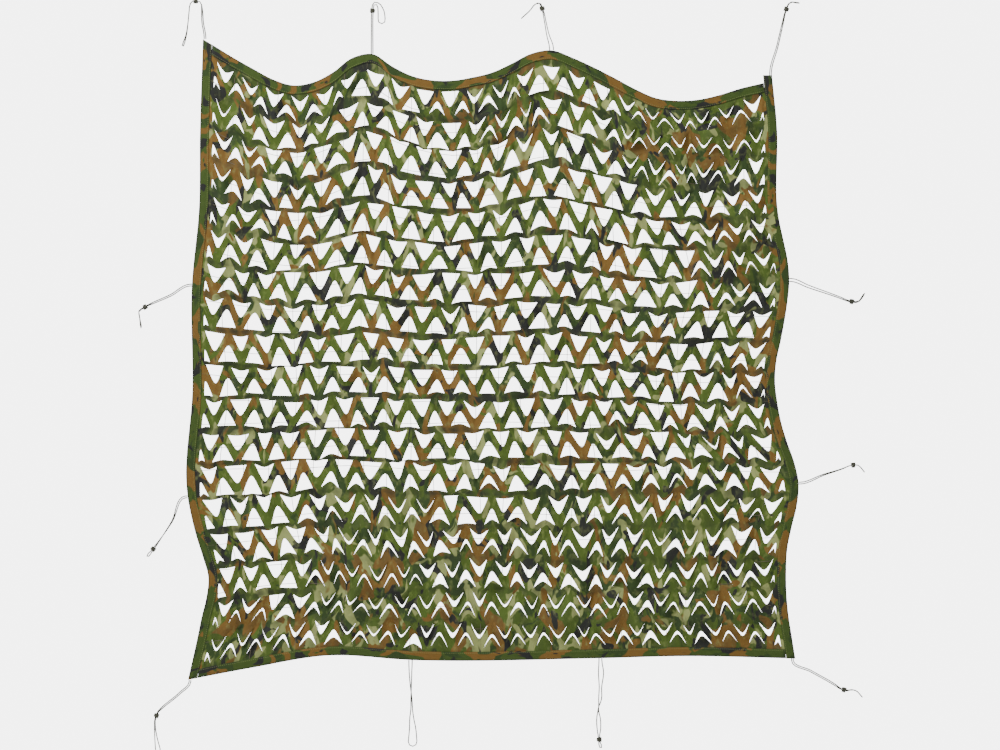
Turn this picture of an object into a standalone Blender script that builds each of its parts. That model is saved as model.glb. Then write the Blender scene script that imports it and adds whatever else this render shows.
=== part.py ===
"""Camouflage net about 2 m square, as it hangs from its ties.

Metres, +Z up, +X to the right, the front towards -Y. The origin is the middle of
the top hem's upper edge. One printed cloth is slit in rows and pulled open into a
net. Four lengths of tape are folded over its edges, and twelve cords, each doubled
into a loop, leave the tape. The sheet hangs in the plane Y = 0, apart from the soft
folds where its slack has gathered.
"""

import bmesh
import bpy
import numpy as np
from mathutils import Vector
from mathutils.geometry import delaunay_2d_cdt

# Cloth and the tape folded over its edge. The cloth tucks into the fold.
CLOTH_THICKNESS = 0.0012
TAPE_WIDTH = 0.030
TAPE_WALL = 0.0010
SLOT_FIT = 0.0004
TUCK = 0.020
HEM_MARGIN = 0.002
TAPE_END_GAP = 0.0005
PIECE_GAP = 0.0003

# Cross lines along a hem: their spacing, the first one in from a corner, and how the
# left tape's end lines lean to follow the hems they meet.
STATION_STEP = 0.070
CORNER_STATION = 0.075
TOP_LEFT_LEAN = -0.60
BOTTOM_LEFT_LEAN = 0.18
LEAN_REACH = 0.15
CORNER_TRIES = 5

# The sheet is flat at its corners and its folds grow from there.
CORNER_FLAT = 0.085
CORNER_FADE = 0.25

# Rows and columns of the slit pattern, and the smallest gap left open.
COLUMNS = 22
ROWS = 18
STRIP_WIDTH = 0.019
SMALLEST_GAP = 0.040
EDGE_HOLD = 6
EDGE_FADE = 3
NET_LEFT, NET_RIGHT = -0.945, 0.935
NET_TOP, NET_BOTTOM = -0.030, -1.925
MERGE_DISTANCE = 1e-6
INSIDE_RINGS = 1

CORD_DIAMETER = 0.004
CORD_STEP = 3 * CORD_DIAMETER
CORD_ROUNDNESS = 2
STRAIGHT_OUT = 0.006
SPAN_STEPS = 12
EYE_STEPS = 7

KNOT_LENGTH = 0.017
KNOT_LEAD = 0.011
KNOT_BORE = 0.0055
KNOT_RADIUS = 0.0095
KNOT_END_RADIUS = 0.0076
KNOT_BELLY = 0.18
KNOT_SIDES = 12

# Columns of the hem tables below.
X, Z = 1, 2

# Base colour and roughness.
CLOTH_FINISH = ((0.09, 0.18, 0.035), 0.85)
TAPE_FINISH = ((0.07, 0.13, 0.04), 0.80)
CORD_FINISH = ((0.045, 0.048, 0.018), 0.75)

# Outer edge of each hem: place, x, z.
HEM_TOP = (
    ("left corner", -0.957, 0.113),
    ("slope", -0.800, 0.020),
    ("slope", -0.700, -0.030),
    ("left bay", -0.640, -0.042),
    ("rise", -0.533, -0.003),
    ("shoulder", -0.443, 0.058),
    ("second tie", -0.393, 0.064),
    ("slope", -0.327, 0.023),
    ("slope", -0.250, -0.013),
    ("middle bay", -0.163, -0.026),
    ("middle of the hem", 0.000, 0.000),
    ("third tie", 0.205, 0.076),
    ("slope", 0.300, 0.040),
    ("slope", 0.460, -0.040),
    ("slope", 0.520, -0.072),
    ("right bay", 0.700, -0.088),
    ("rise", 0.840, -0.050),
    ("right corner", 0.940, -0.026),
)
HEM_LEFT = (
    ("top corner", -0.957, 0.113),
    ("straight", -0.967, -0.200),
    ("straight", -0.970, -0.450),
    ("first tie", -0.994, -0.707),
    ("straight", -0.992, -1.050),
    ("second tie", -1.008, -1.413),
    ("draw in", -0.971, -1.573),
    ("waist", -0.940, -1.673),
    ("draw out", -0.965, -1.830),
    ("bottom corner", -1.007, -2.023),
)
HEM_RIGHT = (
    ("top corner", 0.940, -0.007),
    ("slope", 0.957, -0.183),
    ("straight", 0.957, -0.440),
    ("first tie", 0.998, -0.690),
    ("slope", 0.980, -0.840),
    ("draw in", 0.950, -1.010),
    ("slope", 0.970, -1.160),
    ("second tie", 1.029, -1.367),
    ("slope", 0.990, -1.600),
    ("straight", 0.989, -1.743),
    ("bottom corner", 1.018, -1.952),
)
HEM_BOTTOM = (
    ("left corner", -1.007, -2.023),
    ("slope", -0.800, -1.984),
    ("rise", -0.540, -1.942),
    ("first tie", -0.265, -1.957),
    ("second tie", 0.368, -1.951),
    ("straight", 0.650, -1.944),
    ("right corner", 1.018, -1.952),
)
TIES_TOP = (-0.393, 0.205)
TIES_LEFT = (-0.707, -1.413)
TIES_RIGHT = (-0.690, -1.367)
TIES_BOTTOM = (-0.265, 0.368)

# Slack that has gathered into soft folds: name, x, z, turn in degrees, half length,
# half width, depth towards the front.
FOLDS = (
    ("upper right bunch", 0.66, -0.22, -25, 0.26, 0.075, 0.020),
    ("right upper slack", 0.80, -0.60, 60, 0.24, 0.070, 0.018),
    ("right middle belly", 0.70, -1.20, 85, 0.40, 0.160, 0.010),
    ("left belly", -0.62, -1.05, 90, 0.50, 0.220, -0.012),
    ("middle ridge", 0.02, -1.30, 65, 0.45, 0.120, 0.012),
    ("lower left bunch", -0.40, -1.70, -30, 0.24, 0.070, 0.022),
    ("bottom middle roll", 0.20, -1.84, 4, 0.42, 0.055, 0.020),
    ("bottom right roll", 0.74, -1.82, -8, 0.32, 0.060, 0.022),
    ("bottom left corner", -0.80, -1.84, 20, 0.20, 0.080, -0.014),
    ("top middle hollow", -0.10, -0.30, 0, 0.40, 0.120, -0.010),
)

# Where the rows and columns are drawn aside: name, x, z, reach, pull in x, pull in z.
PULLS = (
    ("towards the second tie", -0.38, -0.12, 0.20, 0.000, 0.030),
    ("towards the third tie", 0.21, -0.12, 0.20, 0.000, 0.030),
    ("upper right slack", 0.68, -0.22, 0.22, 0.010, 0.045),
    ("right slack", 0.86, -0.62, 0.20, 0.020, 0.020),
    ("lower left slack", -0.40, -1.74, 0.20, 0.000, -0.035),
    ("bottom slack", 0.30, -1.80, 0.24, 0.000, -0.030),
    ("bottom right slack", 0.76, -1.78, 0.22, 0.000, -0.035),
)
# Zones where the gathered cloth covers its own gaps: name, x, z, half width, half height.
CLOSED = (
    ("under the top hem, right", 0.66, -0.19, 0.22, 0.15),
    ("right side", 0.86, -0.64, 0.13, 0.13),
    ("lower left", -0.42, -1.74, 0.17, 0.15),
    ("bottom middle", 0.20, -1.84, 0.36, 0.11),
    ("bottom right", 0.76, -1.80, 0.24, 0.13),
    ("bottom left corner", -0.86, -1.92, 0.14, 0.08),
)

# Each tie's doubled route from the hem to the eye at its end: x, z, the two strands'
# distance apart, and how far their pair is turned about the route, in degrees.
TIES = {
    "top_1": (
        ("exit", -0.9500, 0.1130, 0.0056, 0),
        ("run", -0.9580, 0.1700, 0.0050, 0),
        ("run", -0.9600, 0.2080, 0.0050, 45),
        ("over", -0.9630, 0.2310, 0.0050, 90),
        ("knot", -0.9810, 0.2400, 0.0050, 90),
        ("over", -0.9990, 0.2310, 0.0050, 90),
        ("fall", -1.0030, 0.2050, 0.0050, 90),
        ("fall", -1.0070, 0.1650, 0.0055, 90),
        ("fall", -1.0130, 0.1250, 0.0100, 80),
        ("eye", -1.0220, 0.0960, 0.0160, 70),
    ),
    "top_2": (
        ("exit", -0.3930, 0.0640, 0.0056, 0),
        ("run", -0.3930, 0.1430, 0.0050, 0),
        ("knot", -0.3915, 0.2080, 0.0050, 0),
        ("over", -0.3860, 0.2330, 0.0052, 0),
        ("over", -0.3740, 0.2300, 0.0080, 0),
        ("fall", -0.3640, 0.2080, 0.0190, 0),
        ("eye", -0.3610, 0.1760, 0.0240, 0),
    ),
    "top_3": (
        ("exit", 0.2050, 0.0760, 0.0130, 0),
        ("run", 0.1930, 0.1270, 0.0080, 0),
        ("run", 0.1830, 0.1770, 0.0050, 0),
        ("knot", 0.1740, 0.2150, 0.0050, 40),
        ("over", 0.1650, 0.2330, 0.0050, 70),
        ("over", 0.1520, 0.2300, 0.0060, 90),
        ("fall", 0.1330, 0.2080, 0.0100, 90),
        ("eye", 0.1100, 0.1870, 0.0160, 90),
    ),
    "top_4": (
        ("exit", 0.9350, -0.0070, 0.0056, 0),
        ("run", 0.9580, 0.0900, 0.0052, 20),
        ("run", 0.9770, 0.1720, 0.0050, 40),
        ("knot", 0.9880, 0.2130, 0.0050, 60),
        ("over", 1.0000, 0.2350, 0.0060, 80),
        ("eye", 1.0240, 0.2340, 0.0160, 80),
    ),
    "left_1": (
        ("exit", -0.9940, -0.7070, 0.0060, 0),
        ("run", -1.0660, -0.7420, 0.0052, 0),
        ("run", -1.1260, -0.7680, 0.0050, 30),
        ("knot", -1.1500, -0.7800, 0.0050, 60),
        ("turn", -1.1700, -0.7930, 0.0050, 80),
        ("fall", -1.1680, -0.8130, 0.0080, 90),
        ("eye", -1.1640, -0.8420, 0.0160, 80),
    ),
    "left_2": (
        ("exit", -1.0088, -1.4130, 0.0060, 0),
        ("run", -1.0600, -1.4950, 0.0050, 60),
        ("run", -1.1060, -1.5640, 0.0050, 120),
        ("knot", -1.1230, -1.5870, 0.0050, 150),
        ("eye", -1.1380, -1.6060, 0.0160, 120),
    ),
    "right_1": (
        ("exit", 0.9980, -0.6900, 0.0100, 0),
        ("run", 1.0600, -0.7110, 0.0080, 0),
        ("run", 1.1700, -0.7500, 0.0050, 20),
        ("knot", 1.2060, -0.7620, 0.0050, 40),
        ("turn", 1.2290, -0.7610, 0.0056, 70),
        ("eye", 1.2440, -0.7410, 0.0160, 80),
    ),
    "right_2": (
        ("exit", 1.0290, -1.3670, 0.0060, 0),
        ("run", 1.1100, -1.3400, 0.0052, 40),
        ("run", 1.1800, -1.3170, 0.0050, 80),
        ("knot", 1.2110, -1.3070, 0.0050, 90),
        ("turn", 1.2310, -1.3100, 0.0060, 90),
        ("eye", 1.2430, -1.3240, 0.0160, 90),
    ),
    "bottom_1": (
        ("exit", -1.0000, -2.0230, 0.0056, 0),
        ("run", -1.0350, -2.0680, 0.0050, 0),
        ("run", -1.0950, -2.1180, 0.0050, 30),
        ("knot", -1.1120, -2.1420, 0.0050, 60),
        ("fall", -1.1170, -2.1760, 0.0052, 60),
        ("fall", -1.1140, -2.2120, 0.0080, 30),
        ("eye", -1.1070, -2.2560, 0.0160, 0),
    ),
    "bottom_2": (
        ("exit", -0.2650, -1.9570, 0.0110, 0),
        ("fall", -0.2650, -2.0000, 0.0085, 0),
        ("fall", -0.2640, -2.0370, 0.0056, 40),
        ("fall", -0.2620, -2.0850, 0.0052, 130),
        ("fall", -0.2610, -2.1200, 0.0056, 180),
        ("fall", -0.2610, -2.1500, 0.0130, 180),
        ("fall", -0.2580, -2.1850, 0.0210, 180),
        ("eye", -0.2580, -2.2300, 0.0290, 180),
    ),
    "bottom_3": (
        ("exit", 0.3680, -1.9510, 0.0095, 0),
        ("fall", 0.3700, -1.9980, 0.0170, 0),
        ("fall", 0.3680, -2.0500, 0.0080, 0),
        ("fall", 0.3670, -2.0870, 0.0110, 30),
        ("fall", 0.3610, -2.1230, 0.0054, 110),
        ("fall", 0.3620, -2.1560, 0.0130, 180),
        ("fall", 0.3630, -2.1900, 0.0110, 180),
        ("knot", 0.3640, -2.2220, 0.0050, 210),
        ("eye", 0.3680, -2.2430, 0.0160, 240),
    ),
    "bottom_4": (
        ("exit", 1.0080, -1.9520, 0.0056, 0),
        ("run", 1.0700, -1.9940, 0.0052, 0),
        ("run", 1.1550, -2.0430, 0.0050, 30),
        ("knot", 1.1800, -2.0560, 0.0050, 60),
        ("turn", 1.2010, -2.0560, 0.0060, 80),
        ("turn", 1.2220, -2.0600, 0.0090, 90),
        ("eye", 1.2360, -2.0750, 0.0160, 90),
    ),
}


def clear_scene():
    for thing in list(bpy.data.objects):
        bpy.data.objects.remove(thing, do_unlink=True)


def material(name, finish):
    colour, roughness = finish
    made = bpy.data.materials.new(name)
    made.use_nodes = True
    shader = made.node_tree.nodes["Principled BSDF"]
    shader.inputs["Base Color"].default_value = (*colour, 1.0)
    shader.inputs["Roughness"].default_value = roughness
    shader.inputs["Metallic"].default_value = 0.0
    return made


def add_object(name, data, finish):
    made = bpy.data.objects.new(name, data)
    made.data.materials.append(material(name, finish))
    bpy.context.scene.collection.objects.link(made)
    return made


def through(rows, along, across, at):
    """Column across as a smooth (cubic) function of column along."""
    order = np.argsort([row[along] for row in rows])
    a = np.array([rows[i][along] for i in order])
    b = np.array([rows[i][across] for i in order])
    slope = np.gradient(b, a)
    at = np.clip(at, a[0], a[-1])
    k = np.clip(np.searchsorted(a, at) - 1, 0, len(a) - 2)
    width = a[k + 1] - a[k]
    f = (at - a[k]) / width
    start = (2 * f**3 - 3 * f**2 + 1) * b[k] + (f**3 - 2 * f**2 + f) * width * slope[k]
    end = (3 * f**2 - 2 * f**3) * b[k + 1] + (f**3 - f**2) * width * slope[k + 1]
    return start + end


def ramp(f):
    """Smooth step from 0 to 1 as f goes from 0 to 1."""
    f = np.clip(f, 0.0, 1.0)
    return f * f * (3 - 2 * f)


def corners():
    return [
        np.array((rows[end][X], rows[end][Z]))
        for rows in (HEM_LEFT, HEM_RIGHT)
        for end in (0, -1)
    ]


def lie(x, z):
    """How far the sheet lies from the plane Y = 0 at x, z. It is flat at the four corners."""
    x, z = np.asarray(x, float), np.asarray(z, float)
    depth = np.zeros_like(x)
    for _, fold_x, fold_z, turn, half_length, half_width, front in FOLDS:
        c, s = np.cos(np.radians(turn)), np.sin(np.radians(turn))
        along = ((x - fold_x) * c + (z - fold_z) * s) / half_length
        across = ((z - fold_z) * c - (x - fold_x) * s) / half_width
        depth -= front * np.exp(-(along**2) - across**2)
    for corner_x, corner_z in corners():
        away = np.hypot(x - corner_x, z - corner_z)
        depth = depth * ramp((away - CORNER_FLAT) / CORNER_FADE)
    return depth


def spaced(start, ties, end):
    """Stations along a hem: its ends, one near each, every tie, and even steps between."""
    way = np.sign(end - start)
    stops = (start + way * CORNER_STATION, *ties, end - way * CORNER_STATION)
    found = [start]
    for a, b in zip(stops, stops[1:]):
        steps = max(1, round(abs(b - a) / STATION_STEP))
        found += list(np.linspace(a, b, steps, endpoint=False))
    return np.array(found + [stops[-1], end])


def level_hem(rows, start, ties, end, inward):
    """Top or bottom hem: outer and inner ends of its cross lines, which stand upright."""
    x = spaced(start, ties, end)
    z = through(rows, X, Z, x)
    width = TAPE_WIDTH * np.hypot(1.0, np.gradient(z, x))
    outer = np.stack([x, z], axis=1)
    return outer, np.stack([x, z + inward * width], axis=1)


def upright_hem(rows, ties, inward, top_lean, bottom_lean):
    """Side hem: its cross lines lie level, and lean at its ends to follow the other hems."""
    z = spaced(rows[0][Z], ties, rows[-1][Z])
    x = through(rows, Z, X, z)
    width = TAPE_WIDTH * np.hypot(1.0, np.gradient(x, z))
    lean = top_lean * ramp(1 - (rows[0][Z] - z) / LEAN_REACH)
    lean = lean + bottom_lean * ramp(1 - (z - rows[-1][Z]) / LEAN_REACH)
    outer = np.stack([x, z], axis=1)
    return outer, outer + np.stack([inward * width, lean * width], axis=1)


def against(level, upright, tip, way):
    """Ends a level hem against an upright one: its last cross line follows that tape's edge."""
    inner = upright[1][np.argsort(upright[1][:, 1])]
    for line in level:
        line[tip, 0] = np.interp(line[tip, 1], inner[:, 1], inner[:, 0]) + way * TAPE_END_GAP


def hems():
    """The four hems as (outer, inner) cross lines, the level ones ending at the upright ones."""
    left = upright_hem(HEM_LEFT, TIES_LEFT, 1, TOP_LEFT_LEAN, BOTTOM_LEFT_LEAN)
    right = upright_hem(HEM_RIGHT, TIES_RIGHT, -1, 0.0, 0.0)
    found = {"left": left, "right": right}
    for name, rows, ties, end, inward in (
        ("top", HEM_TOP, TIES_TOP, 0, -1),
        ("bottom", HEM_BOTTOM, TIES_BOTTOM, -1, 1),
    ):
        found[name] = level_hem(rows, left[1][end, 0], ties, right[1][end, 0], inward)
        against(found[name], left, 0, 1)
        against(found[name], right, -1, -1)
    return found


def tape_profile():
    """Section of the folded tape: share of its width from the fold, and depth."""
    half = CLOTH_THICKNESS / 2 + SLOT_FIT
    face = half + TAPE_WALL
    fold = 1 - (TUCK + 2 * SLOT_FIT) / TAPE_WIDTH
    return np.array(
        [(0, -face), (1, -face), (1, -half), (fold, -half), (fold, half), (1, half), (1, face), (0, face)]
    )


def make_tape(name, hem, finish):
    outer, inner = hem
    profile = tape_profile()
    lie_at = lie(outer[:, 0], outer[:, 1])
    share, depth = profile[:, 0], profile[:, 1]
    plan = outer[:, None] + (inner - outer)[:, None] * share[None, :, None]
    rings = np.stack(
        [plan[..., 0], lie_at[:, None] + depth[None, :], plan[..., 1]], axis=2
    )
    count, sides = rings.shape[:2]
    ring, side = np.meshgrid(np.arange(count - 1), np.arange(sides), indexing="ij")
    following = (side + 1) % sides
    quads = np.stack(
        [
            ring * sides + side,
            ring * sides + following,
            (ring + 1) * sides + following,
            (ring + 1) * sides + side,
        ],
        axis=2,
    )
    faces = quads.reshape(-1, 4).tolist()
    faces.append(list(range(sides)))
    faces.append(list(range((count - 1) * sides, count * sides)))
    mesh = bpy.data.meshes.new(name)
    mesh.from_pydata(rings.reshape(-1, 3).tolist(), [], faces)
    return add_object(name, outward(mesh), finish)


def outward(mesh):
    """Turns every face of a closed mesh outward."""
    work = bmesh.new()
    work.from_mesh(mesh)
    bmesh.ops.recalc_face_normals(work, faces=work.faces[:])
    if work.calc_volume(signed=True) < 0:
        bmesh.ops.reverse_faces(work, faces=work.faces[:])
    work.to_mesh(mesh)
    work.free()
    return mesh


def inside_hem(hem, width):
    """Line that runs a given width in from a hem's fold."""
    outer, inner = hem
    return outer + (inner - outer) * (width / TAPE_WIDTH)


def cloth_corner(hem_set, side, end, edge, width):
    """Where the lines a given width in from an upright and a level fold meet."""
    upright = inside_hem(hem_set[side], width)
    level = inside_hem(hem_set[edge], width)
    order = np.argsort(upright[:, 1])
    tip, beside = (0, 1) if side == "left" else (-1, -2)
    run, rise = level[tip] - level[beside]
    x = upright[end, 0]
    for _ in range(CORNER_TRIES):
        z = level[tip, 1] + rise / run * (x - level[tip, 0])
        x = np.interp(z, upright[order, 1], upright[order, 0])
    return np.array((x, z))


def cloth_ring(hem_set, width, trim):
    """Closed line a given width in from the folds, clockwise from the top left corner.

    trim leaves out the stations at the ends of the level hems. Returns its points and
    how deep each lies, which is what its hem does there.
    """
    points, depths = [], []
    sides = (
        ("top", slice(None), "left", 0, "top"),
        ("right", slice(None), "right", 0, "top"),
        ("bottom", slice(None, None, -1), "right", -1, "bottom"),
        ("left", slice(None, None, -1), "left", -1, "bottom"),
    )
    for name, order, corner_side, corner_end, corner_edge in sides:
        points.append(cloth_corner(hem_set, corner_side, corner_end, corner_edge, width)[None])
        depths.append(np.zeros(1))
        cut = 1 if name in ("left", "right") else trim
        keep = slice(cut, len(hem_set[name][0]) - cut)
        outer = hem_set[name][0][keep][order]
        points.append(inside_hem(hem_set[name], width)[keep][order])
        depths.append(lie(outer[:, 0], outer[:, 1]))
    return np.concatenate(points), np.concatenate(depths)


def net_points(hem_set, u, v):
    """Place of the net's row and column shares: u from left to right, v from top to bottom.

    Rows and columns are even and straight, except that what the tape's inner lines bend
    away from them fades inwards as a cube. Each pull then draws its neighbourhood aside,
    fading to nothing at the tape.
    """
    u, v = np.broadcast_arrays(np.asarray(u, float), np.asarray(v, float))
    width = TAPE_WIDTH + HEM_MARGIN
    tip = {
        (side, edge): cloth_corner(hem_set, side, end, edge, width)
        for side in ("left", "right")
        for end, edge in ((0, "top"), (-1, "bottom"))
    }

    def line(name, share):
        middle = inside_hem(hem_set[name], width)[1:-1]
        if name in ("top", "bottom"):
            ends = tip["left", name], tip["right", name]
            along, across = 0, 1
        else:
            ends = tip[name, "top"], tip[name, "bottom"]
            along, across = 1, 0
        course = np.vstack([ends[0], middle, ends[1]])
        at = ends[0][along] + (ends[1][along] - ends[0][along]) * share
        order = np.argsort(course[:, along])
        beside = np.interp(at, course[order, along], course[order, across])
        return np.stack([at, beside] if along == 0 else [beside, at], axis=-1)

    def even(across, down):
        x = NET_LEFT + (NET_RIGHT - NET_LEFT) * across
        z = NET_TOP + (NET_BOTTOM - NET_TOP) * down
        return np.stack(np.broadcast_arrays(x, z), axis=-1)

    place = even(u, v)
    reach = {"left": (1 - u) ** EDGE_FADE, "right": u**EDGE_FADE}
    reach.update({"top": (1 - v) ** EDGE_FADE, "bottom": v**EDGE_FADE})
    at = {"left": (0, v), "right": (1, v), "top": (u, 0), "bottom": (u, 1)}
    for name, across_down in at.items():
        share = v if name in ("left", "right") else u
        place = place + reach[name][..., None] * (line(name, share) - even(*across_down))
    for (side, edge), point in tip.items():
        both = reach[side] * reach[edge]
        place = place - both[..., None] * (point - even(at[side][0], at[edge][1]))
    free = np.clip(EDGE_HOLD * u, 0, 1) * np.clip(EDGE_HOLD * (1 - u), 0, 1)
    free = free * np.clip(EDGE_HOLD * v, 0, 1) * np.clip(EDGE_HOLD * (1 - v), 0, 1)
    moved = place.copy()
    for _, x, z, reach, pull_x, pull_z in PULLS:
        near = free * np.exp(-((place[..., 0] - x) ** 2 + (place[..., 1] - z) ** 2) / reach**2)
        moved = moved + near[..., None] * np.array((pull_x, pull_z))
    return moved


def closed_over(x, z):
    """Whether gathered cloth covers the gap at x, z."""
    return any(
        ((x - cx) / half_width) ** 2 + ((z - cz) / half_height) ** 2 < 1
        for _, cx, cz, half_width, half_height in CLOSED
    )


def drawn_in(triangle, margin):
    """A triangle with its sides moved in by a margin: scaled about its incentre."""
    side = np.linalg.norm(np.roll(triangle, 1, axis=0) - np.roll(triangle, -1, axis=0), axis=1)
    incentre = (side[:, None] * triangle).sum(axis=0) / side.sum()
    a, b = triangle[1] - triangle[0], triangle[2] - triangle[0]
    inner_radius = abs(a[0] * b[1] - a[1] * b[0]) / side.sum()
    return incentre + (triangle - incentre) * max(0.0, 1 - margin / inner_radius)


def gap_triangles(hem_set):
    """The net's largest gaps, which point down between two arms of a zigzag strip.

    Yields each cell's middle and its gap's three corners. Where the slack is gathered
    the gap is covered, and None takes its corners' place.
    """
    for row in range(ROWS):
        for column in range(COLUMNS):
            u = np.array((column, column + 0.5, column + 1)) / COLUMNS
            v = np.array((row, row + 1, row)) / ROWS
            cell = net_points(hem_set, u, v)
            middle = cell.mean(axis=0)
            gap = drawn_in(cell, STRIP_WIDTH / 2)
            tall = np.ptp(gap[:, 1])
            cut = tall > SMALLEST_GAP and not closed_over(*middle)
            yield middle, gap if cut else None


def make_cloth(name, hem_set, finish):
    """The cloth as one sheet, filled between its edge and its gaps and then given its thickness."""
    edge, edge_depth = cloth_ring(hem_set, TAPE_WIDTH - TUCK, 0)
    seam, seam_depth = cloth_ring(hem_set, TAPE_WIDTH + HEM_MARGIN, 1)
    gaps, plain = [], []
    for middle, gap in gap_triangles(hem_set):
        if gap is None:
            plain.append(middle)
        else:
            gaps.append(gap)
    loose = np.concatenate([*gaps, np.array(plain)])
    flat = np.concatenate([edge, seam, loose])
    depth = np.concatenate([edge_depth, seam_depth, lie(loose[:, 0], loose[:, 1])])
    first_loose = len(edge) + len(seam)
    rings = [list(range(len(edge)))[::-1]]
    rings += [[first_loose + 3 * i + k for k in range(3)] for i in range(len(gaps))]
    seam_edges = [
        (len(edge) + i, len(edge) + (i + 1) % len(seam)) for i in range(len(seam))
    ]
    rung_edges = [
        (int(np.argmin(np.hypot(*(edge - point).T))), len(edge) + i)
        for i, point in enumerate(seam)
    ]
    points, _, faces, from_point, _, from_face = delaunay_2d_cdt(
        [Vector(p) for p in flat], seam_edges + rung_edges, rings, INSIDE_RINGS, MERGE_DISTANCE
    )
    mesh = bmesh.new()
    corners_of = [
        mesh.verts.new((p.x, depth[source[0]] - CLOTH_THICKNESS / 2, p.y))
        for p, source in zip(points, from_point)
    ]
    for face, source in zip(faces, from_face):
        if source == [0]:
            mesh.faces.new([corners_of[i] for i in face])
    bmesh.ops.delete(mesh, geom=[v for v in mesh.verts if not v.link_faces], context="VERTS")
    front = bmesh.ops.extrude_face_region(mesh, geom=mesh.faces[:])["geom"]
    back = [v for v in front if isinstance(v, bmesh.types.BMVert)]
    bmesh.ops.translate(mesh, vec=(0, CLOTH_THICKNESS, 0), verts=back)
    data = bpy.data.meshes.new(name)
    mesh.to_mesh(data)
    mesh.free()
    return add_object(name, outward(data), finish)


def smooth_course(rows, steps):
    """Cubic curve through rows of numbers by the distance between them, steps points to a span."""
    run = np.concatenate([[0], np.cumsum(np.linalg.norm(np.diff(rows[:, :2], axis=0), axis=1))])
    slope = np.gradient(rows, run, axis=0)
    f = (np.arange(steps) / steps)[:, None]
    spans = []
    for k, width in enumerate(np.diff(run)):
        start = (2 * f**3 - 3 * f**2 + 1) * rows[k] + (f**3 - 2 * f**2 + f) * width * slope[k]
        end = (3 * f**2 - 2 * f**3) * rows[k + 1] + (f**3 - f**2) * width * slope[k + 1]
        spans.append(start + end)
    return np.vstack([*spans, rows[-1:]])


def evenly(points, step):
    """The same course with a point at every step, and its first and last stretches kept straight."""
    middle = points[SPAN_STEPS:-SPAN_STEPS]
    run = np.concatenate([[0], np.cumsum(np.linalg.norm(np.diff(middle, axis=0), axis=1))])
    at = np.linspace(0, run[-1], round(run[-1] / step) + 1)
    course = np.stack([np.interp(at, run, middle[:, k]) for k in range(3)], axis=1)
    return np.vstack([points[:1], course, points[-1:]])


def tie_outward(name):
    return {
        "top": np.array((0.0, 1.0)),
        "bottom": np.array((0.0, -1.0)),
        "left": np.array((-1.0, 0.0)),
        "right": np.array((1.0, 0.0)),
    }[name.rsplit("_", 1)[0]]


def tie_rows(name, rows):
    """A tie's rows as numbers, with its first stretch straight out of the hem and its knot's straight.

    Returns the rows and, for the knot, its middle and direction, or None.
    """
    out = tie_outward(name)
    kinds = [row[0] for row in rows]
    values = np.array([row[1:] for row in rows])
    kept = []
    knot = None
    for i, (kind, value) in enumerate(zip(kinds, values)):
        if kind == "exit":
            for away in (PIECE_GAP, STRAIGHT_OUT):
                kept.append(np.concatenate([value[:2] + out * away, value[2:]]))
        elif kind == "knot":
            way = values[i + 1][:2] - values[i - 1][:2]
            way = way / np.linalg.norm(way)
            knot = value[:2], way
            for along in (-KNOT_LEAD, 0.0, KNOT_LEAD):
                kept.append(np.concatenate([value[:2] + way * along, value[2:]]))
        else:
            kept.append(value)
    return np.array(kept), knot


def cord_course(rows, depth):
    """One cord's centre line: out along one side of a doubled route, round its eye and back."""
    fine = smooth_course(rows, SPAN_STEPS)
    along = np.gradient(fine[:, :2], axis=0)
    along = along / np.linalg.norm(along, axis=1)[:, None]
    turn = np.radians(fine[:, 3])
    half = fine[:, 2] / 2
    side = np.stack([-along[:, 1] * np.cos(turn), np.sin(turn), along[:, 0] * np.cos(turn)], axis=1)
    middle = np.stack([fine[:, 0], np.full(len(fine), depth), fine[:, 1]], axis=1)
    out = middle + side * half[:, None]
    back = middle - side * half[:, None]
    ahead = np.array((along[-1, 0], 0.0, along[-1, 1]))
    angle = np.pi * np.arange(1, EYE_STEPS) / EYE_STEPS
    eye = middle[-1] + half[-1] * (
        np.cos(angle)[:, None] * side[-1] + np.sin(angle)[:, None] * ahead
    )
    return np.vstack([out, eye, back[::-1]])


def make_cord(name, course, finish):
    curve = bpy.data.curves.new(name, "CURVE")
    curve.dimensions = "3D"
    curve.bevel_depth = CORD_DIAMETER / 2
    curve.bevel_resolution = CORD_ROUNDNESS
    curve.use_fill_caps = True
    spline = curve.splines.new("POLY")
    spline.points.add(len(course) - 1)
    for point, place in zip(spline.points, course):
        point.co = (*place, 1.0)
    return add_object(name, curve, finish)


def make_knot(name, middle, way, depth, finish):
    """A knot round both strands: a barrel with a bore, turned about the cord's direction."""
    profile = (
        (KNOT_BORE, -0.5),
        (KNOT_END_RADIUS, -0.5),
        (KNOT_RADIUS, -KNOT_BELLY),
        (KNOT_RADIUS, KNOT_BELLY),
        (KNOT_END_RADIUS, 0.5),
        (KNOT_BORE, 0.5),
    )
    work = bmesh.new()
    ring = [work.verts.new((radius, 0, share * KNOT_LENGTH)) for radius, share in profile]
    edges = [work.edges.new((a, b)) for a, b in zip(ring, ring[1:] + ring[:1])]
    bmesh.ops.spin(
        work,
        geom=ring + edges,
        axis=(0, 0, 1),
        cent=(0, 0, 0),
        steps=KNOT_SIDES,
        angle=2 * np.pi,
        use_merge=True,
        use_duplicate=False,
    )
    mesh = bpy.data.meshes.new(name)
    work.to_mesh(mesh)
    work.free()
    made = add_object(name, outward(mesh), finish)
    made.location = (middle[0], depth, middle[1])
    made.rotation_mode = "QUATERNION"
    made.rotation_quaternion = Vector((way[0], 0, way[1])).to_track_quat("Z", "Y")
    return made


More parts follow.
